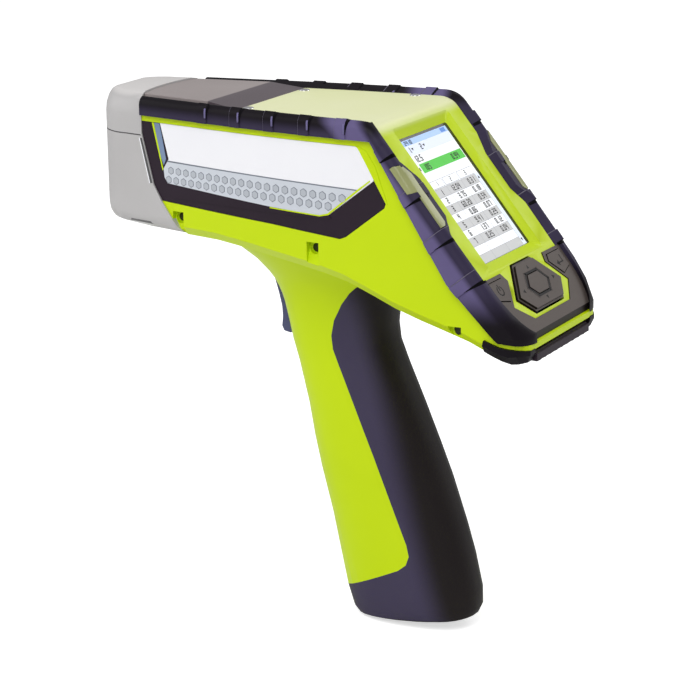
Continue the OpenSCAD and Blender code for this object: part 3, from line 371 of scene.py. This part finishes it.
MATS = {
    "neon_plastic": material(
        "neon_plastic", srgb(201, 226, 2), srgb(196, 222, 0), 0.36, 1500, 0.05, spec=0.22
    ),
    "neon_cover": material(
        "neon_cover", srgb(203, 226, 44), srgb(198, 222, 36), 0.36, 1500, 0.05, spec=0.25
    ),
    "grip_rubber": material(
        "grip_rubber", srgb(30, 25, 25), srgb(26, 21, 22), 0.5, 1800, 0.25, spec=0.15
    ),
    "bumper_rubber": material(
        "bumper_rubber", srgb(24, 19, 25), srgb(20, 16, 22), 0.4, 1500, 0.1, spec=0.1
    ),
    "bumper_shadow": material(
        "bumper_shadow", srgb(12, 9, 16), srgb(9, 7, 12), 0.6, 1500, 0.0, spec=0.1
    ),
    # painted highlight: the light hairline on the front edge of each rail band
    "bumper_edge": material("bumper_edge", srgb(104, 98, 116), srgb(96, 90, 108), 0.4, 1500, 0.0),
    "bumper_sheen": material("bumper_sheen", srgb(110, 102, 150), srgb(100, 92, 140), 0.35, 1500, 0.0),
    "top_plastic": material("top_plastic", srgb(160, 150, 149), srgb(153, 143, 142), 0.4, 1500, 0.06),
    "screw_black": material(
        "screw_black", srgb(46, 50, 14), srgb(40, 44, 12), 0.5, 900, 0.04, spec=0.3
    ),
    "dark_plastic": material(
        "dark_plastic", srgb(46, 36, 46), srgb(41, 32, 41), 0.4, 1500, 0.06, spec=0.12
    ),
    "key_plastic": material(
        "key_plastic", srgb(30, 24, 24), srgb(26, 20, 21), 0.42, 1500, 0.1, spec=0.15
    ),
    "nose_plastic": material(
        "nose_plastic", srgb(187, 185, 185), srgb(180, 178, 178), 0.42, 1200, 0.05
    ),
    "dimple_shade": material(
        "dimple_shade", srgb(112, 111, 112), srgb(104, 103, 104), 0.5, 1200, 0.0, spec=0.2
    ),
    "dimple_light": material("dimple_light", srgb(214, 213, 213), srgb(208, 207, 207), 0.4, 1200, 0.0),
    "label_film": material("label_film", srgb(246, 246, 250), srgb(243, 243, 248), 0.3, 900, 0.01),
    "trigger_plastic": material(
        "trigger_plastic", srgb(74, 78, 118), srgb(68, 72, 110), 0.36, 1200, 0.05
    ),
    "screen_glass": material("screen_glass", srgb(16, 17, 20), srgb(12, 13, 16), 0.12, 500, 0.0),
    "lens_plastic": material("lens_plastic", srgb(176, 178, 128), srgb(138, 142, 92), 0.14, 500, 0.02),
    "window_polymer": material(
        "window_polymer", srgb(150, 104, 40), srgb(140, 96, 34), 0.2, 500, 0.02
    ),
    "steel": material(
        "steel", (0.62, 0.62, 0.63, 1), (0.55, 0.55, 0.56, 1), 0.3, 900, 0.04, metal=1.0
    ),
    "aluminium": material(
        "aluminium", (0.7, 0.71, 0.72, 1), (0.62, 0.63, 0.65, 1), 0.35, 900, 0.04, metal=1.0
    ),
    "bright_steel": material(
        "bright_steel", (0.7, 0.7, 0.72, 1), (0.62, 0.62, 0.64, 1), 0.2, 900, 0.03, metal=1.0
    ),
    "brass": material("brass", (0.75, 0.58, 0.25, 1), (0.68, 0.5, 0.2, 1), 0.3, 900, 0.04, metal=1.0),
    "battery_plastic": material("battery_plastic", srgb(46, 46, 50), srgb(40, 40, 44), 0.5, 1200, 0.1),
    "supply_resin": material("supply_resin", srgb(140, 143, 148), srgb(130, 133, 138), 0.5, 900, 0.1),
    "board": material("board", srgb(28, 104, 66), srgb(22, 92, 58), 0.35, 700, 0.05),
    "band_film": material("band_film", srgb(208, 213, 221), srgb(203, 208, 217), 0.32, 900, 0.01),
    "hex_film": material("hex_film", srgb(184, 189, 197), srgb(178, 183, 191), 0.35, 900, 0.01),
    "line_film": material("line_film", srgb(118, 124, 136), srgb(110, 116, 128), 0.35, 900, 0.01),
    "bevel_film": material("bevel_film", srgb(132, 152, 182), srgb(104, 126, 160), 0.25, 900, 0.01),
    "seam_shadow": material(
        "seam_shadow", srgb(92, 92, 93), srgb(84, 84, 85), 0.7, 900, 0.0, spec=0.1
    ),
    "ink": material("ink", srgb(24, 22, 24), srgb(20, 18, 20), 0.5, 900, 0.0, spec=0.2),
    "lit_white": lit("lit_white", srgb(236, 238, 242), shade(236, 238, 242, 0.98)),
    "lit_grey": lit("lit_grey", srgb(184, 185, 187), shade(184, 185, 187, 0.98)),
    "lit_pale": lit("lit_pale", srgb(214, 222, 238), shade(214, 222, 238, 0.98)),
    "lit_blue": lit("lit_blue", srgb(150, 182, 232), srgb(168, 196, 236)),
    "lit_badge": lit("lit_badge", srgb(70, 120, 200), srgb(84, 132, 208)),
    "lit_green": lit("lit_green", srgb(58, 186, 44), srgb(54, 178, 40)),
    "lit_line": lit("lit_line", srgb(160, 163, 170), srgb(152, 155, 162), 0.2),
    "screen_ink": lit("screen_ink", srgb(34, 34, 38), srgb(28, 28, 32), 0.05),
}

behind_cover_reflection = along_axis(0, COVER_REFLECTION_X - 0.5, COVER_REFLECTION_X + 0.5)
deck_reflection = along_axis(2, DECK_Z - 5.6, DECK_Z - 1)
# painted sheen: a violet highlight painted down the sides of the rubber rails
steer(MATS["bumper_rubber"], srgb(106, 97, 138), srgb(98, 89, 129), rail_side_sheen)
# painted sheen: a violet highlight painted on the sides of the grip
steer(MATS["grip_rubber"], srgb(68, 62, 86), srgb(62, 56, 79), grip_side_sheen)
# painted reflection: the top cover keeps a lighter tone in front of this edge and turns dark behind it
steer(MATS["top_plastic"], srgb(88, 77, 84), srgb(82, 72, 78), behind_cover_reflection)
# painted reflection: the neon cover turns pale towards the deck, standing for the light mirrored from
# above
steer(MATS["neon_cover"], srgb(240, 243, 196), srgb(236, 240, 184), deck_reflection)
# painted light: the nose's level tops are painted lighter than its sides
steer(MATS["nose_plastic"], srgb(217, 214, 213), srgb(211, 208, 207), top_face_light)
# painted light: the keys' faces towards the front are painted lighter than their sides
steer(MATS["key_plastic"], srgb(92, 84, 80), srgb(86, 78, 74), key_face_light)

slots = {s["node"]: s["material_slot"] for s in frame["record"]["subparts"]}
slots.update(
    display_cover="neon_cover", top_cover="top_plastic", housing_screws="screw_black",
    deck_screws="bright_steel",
)
for name, obj in frame["nodes"].items():
    obj.data.materials.clear()
    obj.data.materials.append(MATS[slots[name]])
    obj.data.shade_smooth()
    obj.data.set_sharp_from_angle(angle=math.radians(28))

# ---- building pieces ----


def new_piece(name, form, mat, sharp=None):
    """An object of one material from a bmesh, which it frees; sharp is an angle in degrees."""
    mesh = bpy.data.meshes.new(name)
    form.to_mesh(mesh)
    form.free()
    mesh.materials.append(MATS[mat])
    mesh.shade_smooth()
    if sharp is not None:
        mesh.set_sharp_from_angle(angle=math.radians(sharp))
    piece = bpy.data.objects.new(name, mesh)
    scene.collection.objects.link(piece)
    return piece


# ---- moulded pieces: the solids' own forms with their facets joined and their edges broken ----


def joined(node):
    """A bmesh of a solid, with the corners that its facets share made one."""
    b = bmesh.new()
    b.from_mesh(frame["nodes"][node].data)
    bmesh.ops.remove_doubles(b, verts=b.verts[:], dist=0.005 * MM)
    return b


def moulded(node, bevel):
    """Stands for a solid whose facets would otherwise show."""
    piece = new_piece(node + "_mould", joined(node), slots[node])
    edge = piece.modifiers.new("edge", "BEVEL")
    edge.limit_method = "ANGLE"
    edge.angle_limit = math.radians(34)
    edge.width = bevel * MM
    edge.segments = 2
    edge.miter_outer = "MITER_ARC"
    even = piece.modifiers.new("even", "WEIGHTED_NORMAL")
    even.keep_sharp = True
    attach(piece, body_of(frame["nodes"][node])[0])
    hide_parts(node)


EDGES = {
    "left_housing": 0.3, "right_housing": 0.3, "left_bumper": 0.35, "right_bumper": 0.35, "grip": 0.35,
    "display_cover": 0.45, "lower_bezel": 0.45, "top_cover": 0.3, "nose_upper": 0.3, "nose_lower": 0.3,
    "left_side_frame": 0.15, "right_side_frame": 0.15,
    "left_rear_corner": 0.35, "right_rear_corner": 0.35,
    "left_indicator_lens": 0.5, "right_indicator_lens": 0.5, "trigger": 0.6, "direction_pad": 0.5,
    "power_key": 0.35, "enter_key": 0.35, "select_button": 0.3, "port_flap": 0.2, "battery_cap": 0.4,
}
for node, bevel in EDGES.items():
    moulded(node, bevel)

def slab(name, outlines, place, low, high, mat, body=BODY, cuts=(), bevel=0.0):
    """Flat outlines given thickness between two heights over the form that place describes."""
    flat = bmesh.new()
    for outline in outlines:
        flat.faces.new([flat.verts.new((u, v, 0)) for u, v in outline])
    for cut in cuts:
        geom = flat.verts[:] + flat.edges[:] + flat.faces[:]
        bmesh.ops.bisect_plane(flat, geom=geom, plane_co=(cut, 0, 0), plane_no=(1, 0, 0))
    solid = bmesh.new()
    lower = {v: solid.verts.new(place(v.co.x, v.co.y, low)) for v in flat.verts}
    upper = {v: solid.verts.new(place(v.co.x, v.co.y, high)) for v in flat.verts}
    for face in flat.faces:
        solid.faces.new([upper[v] for v in face.verts])
        solid.faces.new([lower[v] for v in reversed(face.verts)])
    rim = []
    for edge in flat.edges:
        if len(edge.link_faces) == 1:
            a, b = edge.verts
            solid.faces.new([lower[a], lower[b], upper[b], upper[a]])
            rim.append(solid.edges.get((upper[a], upper[b])))
    flat.free()
    bmesh.ops.recalc_face_normals(solid, faces=solid.faces[:])
    if bevel:
        bmesh.ops.bevel(solid, geom=rim, offset=bevel * MM, segments=2, affect="EDGES")
    piece = new_piece(name, solid, mat, 30)
    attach(piece, body)


def box(u0, v0, u1, v1):
    return [(u0, v0), (u1, v0), (u1, v1), (u0, v1)]


def disc(u, v, ru, rv, count, turn=0.0):
    return [
        (u + ru * math.cos(turn + math.tau * i / count), v + rv * math.sin(turn + math.tau * i / count))
        for i in range(count)
    ]


def stroke(points, width):
    """Outlines that draw a line of even width through points."""
    out = []
    for (u0, v0), (u1, v1) in zip(points, points[1:]):
        length = math.hypot(u1 - u0, v1 - v0)
        du, dv = (u1 - u0) / length * width / 2, (v1 - v0) / length * width / 2
        out.append([
            (u0 - du - dv, v0 - dv + du), (u0 - du + dv, v0 - dv - du),
            (u1 + du + dv, v1 + dv - du), (u1 + du - dv, v1 + dv + du),
        ])
    return out


SIDE_CUTS = [-70 + 8 * i for i in range(15)]


HEAD_RINGS = 5
HEAD_SIDES = 24


def dome(points, at, radius, rise, turn, sink):
    """Adds a low round head with its axis along turn to a mesh."""
    rings = []
    for k in range(HEAD_RINGS):
        tilt = math.radians(20 * k)
        r, h = radius * math.cos(tilt), rise * math.sin(tilt)
        edge = disc(0, 0, r, r, HEAD_SIDES)
        rings.append([points.verts.new((at + turn @ Vector((x, y, h))) * MM) for x, y in edge])
    edge = disc(0, 0, radius, radius, HEAD_SIDES)
    foot = [points.verts.new((at + turn @ Vector((x, y, -sink))) * MM) for x, y in edge]
    for low, high in zip([foot] + rings, rings):
        for i in range(HEAD_SIDES):
            j = (i + 1) % HEAD_SIDES
            points.faces.new([low[i], low[j], high[j], high[i]])
    points.faces.new(rings[-1])
    points.faces.new(list(reversed(foot)))


def screws(name, heads, radius, rise, sink, mat, node):
    """Low round heads in place of the plain screws; heads holds their places and turns."""
    b = bmesh.new()
    for at, turn in heads:
        dome(b, at, radius, rise, turn, sink)
    bmesh.ops.recalc_face_normals(b, faces=b.faces[:])
    piece = new_piece(name, b, mat, 50)
    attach(piece, BODY)
    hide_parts(node)


# Each row's place along the deck, and how far its screws lie inside the rails' foot
DECK_ROWS = [(-27, 13.6), (22.5, 10.6)]
NOTCHES = [(-58.8, 174.3), (11.2, 169.7), (76.3, 142.6)]
NOTCH_DEEP = 4.0
deck_heads = [
    (Vector((x, side * (half_at(x) - inside), DECK_Z)), Matrix.Identity(3))
    for x, inside in DECK_ROWS for side in (-1, 1)
]
housing_heads = [
    (Vector((x, side * (half_at(x) - SIDE_STEP - NOTCH_DEEP), z)),
     Matrix.Rotation(-side * math.pi / 2, 3, "X"))
    for x, z in NOTCHES for side in (-1, 1)
]
screws("deck_screw_heads", deck_heads, 2.4, 0.6, 1.5, "bright_steel", "deck_screws")
screws("housing_screw_heads", housing_heads, 1.9, 0.5, 3, "screw_black", "housing_screws")


def skin(name, node, regions, lift, mat):
    """Thin skins over the stretches of a solid that lie beyond every plane of a region."""
    whole = bmesh.new()
    for planes in regions:
        part = joined(node)
        for at, toward in planes:
            geom = part.verts[:] + part.edges[:] + part.faces[:]
            bmesh.ops.bisect_plane(
                part, geom=geom, plane_co=Vector(at) * MM, plane_no=toward, clear_inner=True
            )
        part.normal_update()
        for vert in part.verts:
            vert.co += vert.normal * lift * MM
        step = bpy.data.meshes.new("step")
        part.to_mesh(step)
        part.free()
        whole.from_mesh(step)
        bpy.data.meshes.remove(step)
    piece = new_piece(name, whole, mat)
    thick = piece.modifiers.new("thick", "SOLIDIFY")
    thick.thickness = lift * MM
    thick.offset = -1
    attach(piece, body_of(frame["nodes"][node])[0])


# ---- bands of the rails ----

TOP_BANDS = [-43.1 + 17.3 * i for i in range(5)]
SLOPE_BANDS = [-27.4 + 20.6 * i for i in range(4)]
HALF_BAND = 2.5
RAIL_FOOT_Z = 217
NOTCH_LONG = 3


def between_x(low, high, side, *more):
    """The stretch of a top rail between two places along it."""
    return [
        ((low, 0, 0), (1, 0, 0)), ((high, 0, 0), (-1, 0, 0)), ((0, side * 34, 0), (0, side, 0)),
        ((0, 0, RAIL_FOOT_Z), (0, 0, 1)), *more,
    ]


def between_slope(low, high, side, *more):
    """The stretch of a rail beside the screen between two places along it."""
    return [
        (GLASS + low * DOWN, DOWN), (GLASS + high * DOWN, -DOWN), ((0, side * 30, 0), (0, side, 0)),
        (GLASS - 6 * OUT, OUT), *more,
    ]


for side, word in ((-1, "left"), (1, "right")):
    node = word + "_bumper"
    flank = [((0, 0, 223.4), (0, 0, -1)), ((0, 0, 219.4), (0, 0, 1))]
    outer = ((0, side * 36.5, 0), (0, side, 0))
    edges, notch_shadows, sheens = [], [], []
    for band in TOP_BANDS:
        front, rear = band - HALF_BAND, band + HALF_BAND
        wedge = ((rear + 0.1, 0, 219.5), (-1, 0, 0.22))
        # painted highlight: a light hairline along each top band's front edge
        edges.append(between_x(front - 0.3, front + 0.05, side))
        # painted shadow: a dark skin behind each top band, where its notch would hold shade
        notch_shadows.append(between_x(rear - 0.1, rear + NOTCH_LONG, side, wedge))
        sheens.append(between_x(rear - 1.0, rear - 0.1, side, *flank))
    slope_front_highlights = []
    for band in SLOPE_BANDS:
        front, rear = band - HALF_BAND, band + HALF_BAND
        wedge = (GLASS + rear * DOWN - 2.5 * OUT, 0.2 * OUT - DOWN)
        # painted highlight: a light hairline along each slope band's front edge
        slope_front_highlights.append(between_slope(front - 0.3, front + 0.05, side))
        # painted shadow: a dark skin behind each slope band, where its notch would hold shade
        notch_shadows.append(between_slope(rear - 0.1, rear + NOTCH_LONG, side, wedge, outer))
    skin(word + "_band_edges", node, edges[1:] + slope_front_highlights[1:], 0.05, "bumper_edge")
    skin(word + "_band_notches", node, notch_shadows, 0.06, "bumper_shadow")
    skin(word + "_band_sheens", node, sheens, 0.06, "bumper_sheen")

# ---- side labels ----

# Each row's first cell, spacing, growth of the spacing, height and number of cells
CELL_ROWS = [(-61.9, 4.06, 0.0165, 193.05, 21), (-63.2, 4.0, 0.0177, 189.0, 20)]
CELL_R = 1.72
CELL_GROWTH = 0.011
CELL_NARROWING = 0.96
ROW_TILT = -0.024


def cells(shrink):
    """Two rows of hexagons that grow a little towards the rear."""
    out = []
    for i in range(CELL_ROWS[0][4]):
        for first, pitch, spread, z, count in CELL_ROWS:
            if i < count:
                r = CELL_R + CELL_GROWTH * i - shrink
                x = first + pitch * i + spread * i * i
                out.append(disc(x, z + ROW_TILT * x, r * CELL_NARROWING, r, 6, math.pi / 2))
    return out


SINK = -0.3
PLATE = 0.1
BAND = [
    (-63.75, 198.3), (-66.0, 195.0), (-65.6, 191.3), (-63.9, 188.9), (-9.6, 185.3), (14.6, 184.3),
    (18.8, 185.2), (33.2, 196.5), (-25.8, 197.7),
]
DIVIDER = [(-63.9, 198.7), (-63.9, 198.1), (-25.8, 197.4), (33.1, 196.2), (33.1, 196.7), (-25.8, 197.9)]
BEVEL = [(-70.6, 214.2), (-67.6, 214.2), (-66.3, 208.4), (-64.5, 199.2), (-65.9, 196.4), (-67.9, 201)]
FRONT_LINE = [(-71.7, 214.2), (-70.7, 214.2), (-66.1, 194.6), (-66.6, 194.2)]
CORNER = [(32.4, 214.9), (34.3, 212.2), (46.2, 191.9), (46.9, 192.0), (41.4, 206.9), (37.2, 213.0)]
FRAME_LIP = [
    (-66.0, 191.2), (-63.9, 188.9), (-9.6, 185.3), (14.6, 184.2), (19.3, 184.9), (20.6, 183.6),
    (16.4, 182.8), (-61.0, 182.8), (-64.5, 186.0),
]
END_LINE = [
    (33.4, 197.0), (18.9, 185.5), (14.8, 184.4), (-9.6, 185.2), (-9.6, 184.7), (14.9, 183.9),
    (19.3, 184.9), (39.1, 200.6), (38.8, 201.0),
]
# Name, outlines, lower and upper height over the neon side, material, cuts and broken edge
LABEL_PIECES = [
    ("_band", [BAND], PLATE - 0.3, PLATE + 0.04, "band_film", SIDE_CUTS, 0.0),
    ("_hex_rims", cells(0), PLATE - 0.2, PLATE + 0.1, "line_film", (), 0.0),
    ("_hexes", cells(0.3), PLATE - 0.2, PLATE + 0.16, "hex_film", (), 0.0),
    ("_divider", [DIVIDER], PLATE - 0.2, PLATE + 0.08, "line_film", SIDE_CUTS, 0.0),
    ("_bevel", [BEVEL], SINK, 0.12, "bevel_film", SIDE_CUTS, 0.08),
    ("_front_line", [FRONT_LINE], SINK, 0.2, "neon_plastic", SIDE_CUTS, 0.0),
    ("_corner", [CORNER], SINK, 0.2, "neon_plastic", SIDE_CUTS, 0.1),
    ("_frame_lip", [FRAME_LIP], SINK, 0.22, "dark_plastic", SIDE_CUTS, 0.0),
    ("_end_line", [END_LINE], SINK, 0.26, "neon_plastic", SIDE_CUTS, 0.0),
]
for side, word in ((-1, "left"), (1, "right")):
    for name, outlines, low, high, mat, cuts, bevel in LABEL_PIECES:
        slab(word + name, outlines, on_side(side), low, high, mat, cuts=cuts, bevel=bevel)

# ---- screen ----

LEFT, RIGHT_END = -21.6, 20.8
LAYER = 0.02
FILM = 0.01
AREAS = [
    ("lit_white", box(-29.7, LEFT, 30.6, RIGHT_END)),
    ("lit_blue", box(-29.7, LEFT, -27.0, RIGHT_END)),
    ("lit_pale", box(-26.9, LEFT, -22.4, RIGHT_END)),
    ("lit_green", box(-18.1, -18.4, -13.7, 20.2)),
    ("lit_badge", box(-29.3, 14.6, -27.4, 18.8)),
]
ROWS = [-5.5 + 4.01 * i for i in range(10)]
COLUMNS = [LEFT, -9.6, 4.2, 17.5, RIGHT_END]
GLASS_TOP = -0.1
POINT_GAP = 0.35
FIGURE_GAP = 0.55
# High, wide and thick, for each size of figure
CLOCK = (2.0, 1.15, 0.32)
HEADING = (2.2, 1.2, 0.35)
PLAIN = (2.7, 1.4, 0.42)
RESULT = (2.8, 1.4, 0.42)
TIMER = (3.0, 1.5, 0.45)
DIGITS = {
    "0": "abcdef", "1": "bc", "2": "abged", "3": "abgcd", "4": "fgbc",
    "5": "afgcd", "6": "afgedc", "7": "abc", "8": "abcdefg", "9": "abcdfg",
}


def figures(text, u, v, high, wide, thick):
    """Seven-bar figures with their feet at u, running along v."""
    out = []
    for mark in text:
        if mark == ".":
            out.append(box(u - thick, v, u, v + thick))
            v += thick + POINT_GAP
            continue
        top, mid, foot = u - high, u - high / 2, u
        bars = {
            "a": box(top, v, top + thick, v + wide),
            "b": box(top, v + wide - thick, mid, v + wide),
            "c": box(mid, v + wide - thick, foot, v + wide),
            "d": box(foot - thick, v, foot, v + wide),
            "e": box(mid, v, foot, v + thick),
            "f": box(top, v, mid, v + thick),
            "g": box(mid - thick / 2, v, mid + thick / 2, v + wide),
        }
        out += [bars[bar] for bar in DIGITS[mark]]
        v += wide + FIGURE_GAP
    return out


TABLE = [
    ("1", "12.04", "0.31"), ("2", "3.75", "0.18"), ("3", "60.20", "0.54"), ("4", "0.86", "0.07"),
    ("5", "9.41", "0.29"), ("6", "1.37", "0.12"), ("7", "0.25", "0.04"),
]
MARK_STEP = 1.95
level = GLASS_TOP
for mat, area in AREAS:
    level += LAYER
    slab("screen_" + mat, [area], on_slope, level - FILM, level, mat)
level += LAYER
stripes = [box(ROWS[i], LEFT, ROWS[i + 1], COLUMNS[3]) for i in range(0, 9, 2)]
slab("screen_rows", stripes, on_slope, level - FILM, level, "lit_grey")
scroll = [box(ROWS[0], COLUMNS[3], ROWS[9], RIGHT_END)]
slab("screen_scroll", scroll, on_slope, level - FILM, level, "lit_pale")
level += LAYER
lines = [box(u, LEFT, u + 0.15, COLUMNS[3]) for u in ROWS]
lines += [box(ROWS[0], v, ROWS[9], v + 0.15) for v in COLUMNS[1:4]]
slab("screen_lines", lines, on_slope, level - FILM, level, "lit_line")
buttons = [(-20.4, -9.8), (-8.9, 3.2), (4.6, 18.0)]
rims = [box(-9.4, a, -5.7, b) for a, b in buttons]
slab("screen_button_rims", rims, on_slope, level - FILM, level, "lit_line")
level += LAYER
faces = [box(-9.2, a + 0.2, -5.9, b - 0.2) for a, b in buttons]
slab("screen_buttons", faces, on_slope, level - FILM, level, "lit_white")
level += LAYER
ink = figures("2410", -27.3, -18.6, *CLOCK)
ink += figures("1", -23.6, -18.6, *PLAIN) + figures("2", -23.6, -8.4, *PLAIN)
ink += figures("12.5", -19.0, -18.9, *TIMER)
ink += figures("105", -14.5, -15.8, *RESULT) + figures("0.94", -14.5, 9.6, *RESULT)
ink += [
    [(-25.6, -16.2), (-25.6, -14.4), (-24.4, -15.3)], [(-25.6, -5.9), (-25.6, -4.1), (-24.4, -5.0)],
    [(-16.9, -19.6), (-14.9, -19.6), (-15.9, -21.2)], [(-3.0, 18.2), (-3.0, 19.8), (-4.4, 19.0)],
    [(27.6, 18.2), (27.6, 19.8), (29.0, 19.0)],
]
for mark, v in (("1", -15.6), ("2", -3.4), ("3", 10.4)):
    ink += figures(mark, -6.5, v, *HEADING)
for i, (mark, value, error) in enumerate(TABLE):
    foot = ROWS[i + 1] - 0.65
    ink += figures(mark, foot, -16.4, *PLAIN)
    ink += figures(value, foot, 2.6 - MARK_STEP * len(value), *PLAIN)
    ink += figures(error, foot, 16.6 - MARK_STEP * len(error), *PLAIN)
slab("screen_figures", ink, on_slope, level - FILM, level, "screen_ink")

# ---- icons on the keys ----

KEY_TOP = 3.5
PAD_TOP = 4.4
INK_THICK = 0.04
POWER_AT = (43.9, -29.4)
POWER_R = 2.1
turns = [math.radians(215 + 29 * i) for i in range(11)]
ring = [(POWER_AT[0] + POWER_R * math.cos(a), POWER_AT[1] + POWER_R * math.sin(a)) for a in turns]
power = stroke(ring, 0.55) + stroke([(41.2, -29.4), (43.6, -29.4)], 0.6)
slab("power_icon", power, on_slope, KEY_TOP, KEY_TOP + INK_THICK, "ink", "power_key")
enter = stroke([(41.8, 31.6), (44.8, 31.6), (44.8, 27.4)], 0.6)
enter.append([(43.4, 28.0), (46.2, 28.0), (44.8, 25.8)])
slab("enter_icon", enter, on_slope, KEY_TOP, KEY_TOP + INK_THICK, "ink", "enter_key")
SELECT = [(52.4, -4.8), (52.4, 4.8), (48.2, 8.6), (43.4, 4.6), (43.4, -4.6), (48.2, -8.6)]


def ring_round(points, by, width):
    """A closed line of even width that lies outside a shape."""
    middle = Vector((sum(p[0] for p in points), sum(p[1] for p in points))) / len(points)
    arms = [Vector(p) - middle for p in points]
    grown = [tuple(middle + arm * (1 + by / arm.length)) for arm in arms]
    return stroke(grown + grown[:1], width)


groove = ring_round(SELECT, 1.1, 1.0)
slab("pad_groove", groove, on_slope, PAD_TOP - 0.2, PAD_TOP + 0.03, "ink", "direction_pad")
lip = ring_round(SELECT, 2.1, 0.35)
slab("pad_groove_lip", lip, on_slope, PAD_TOP - 0.2, PAD_TOP + 0.08, "key_plastic", "direction_pad")
arrows = [
    [(41.1, -0.9), (41.1, 0.9), (39.4, 0)], [(54.4, -0.9), (54.4, 0.9), (56.1, 0)],
    [(47.9, -13.6), (49.7, -13.6), (48.8, -15.6)], [(47.9, 13.6), (49.7, 13.6), (48.8, 15.6)],
]
slab("pad_icons", arrows, on_slope, PAD_TOP, PAD_TOP + INK_THICK, "ink", "direction_pad")

# ---- seams of the nose ----

NOSE_FACE_X = -104.8
NOSE_CORNER = 19
NOSE_HALF = 26.6
NOSE_REAR_X = -50
NOSE_REAR_HALF = 33.28
FLARE_X = NOSE_FACE_X + NOSE_CORNER
SPLIT_Z = 208.45
DIMPLE_X = (-86.9, -73.5)
DIMPLE_Z = 169.8
SLOT = [(-78.6, 206.9), (-77.3, 207.0), (-72.1, 188.1), (-73.5, 187.9)]
# painted highlight: a white line along the slot's front edge
SLOT_HIGHLIGHT = [(-79.0, 207.0), (-78.5, 207.0), (-73.4, 187.9), (-73.9, 187.8)]


def nose_half(x):
    """Half width of the nose, round its corner and along its flare."""
    if x < FLARE_X:
        return NOSE_HALF - NOSE_CORNER + math.sqrt(max(0, NOSE_CORNER**2 - (FLARE_X - x) ** 2))
    return NOSE_HALF + (NOSE_REAR_HALF - NOSE_HALF) * (x - FLARE_X) / (NOSE_REAR_X - FLARE_X)


def on_nose(side):
    """u along x, v up, w out of the nose's side."""
    return lambda u, v, w: Vector((u, side * (nose_half(u) + w), v)) * MM


for side, word in ((-1, "left"), (1, "right")):
    split_line = [((0, 0, SPLIT_Z), (0, 0, -1)), ((-78, 0, 0), (-1, 0, 0)), ((0, side, 0), (0, side, 0))]
    skin(word + "_nose_split", "nose_upper", [split_line], 0.04, "seam_shadow")
    front, rear = (DIMPLE_X[0], 0, 169.7), (DIMPLE_X[1], 0, 169.9)
    ends = [
        (front, (1, 0, 0.5)), (front, (1, 0, -0.9)), (rear, (-1, 0, 0.6)), (rear, (-1, 0, -0.8)),
        ((0, side * 15, 0), (0, side, 0)),
    ]
    upper = ends + [((0, 0, DIMPLE_Z), (0, 0, 1)), ((0, 0, DIMPLE_Z + 1.2), (0, 0, -1))]
    lower = ends + [((0, 0, DIMPLE_Z), (0, 0, -1)), ((0, 0, DIMPLE_Z - 1.1), (0, 0, 1))]
    skin(word + "_dimple_shade", "nose_lower", [upper], 0.05, "dimple_shade")
    skin(word + "_dimple_light", "nose_lower", [lower], 0.05, "dimple_light")
    slab(word + "_nose_slot", [SLOT], on_nose(side), -0.4, 0.04, "seam_shadow")
    # painted highlight: a white strip along the slot's lit edge
    slab(word + "_nose_slot_edge", [SLOT_HIGHLIGHT], on_nose(side), -0.4, 0.12, "label_film")
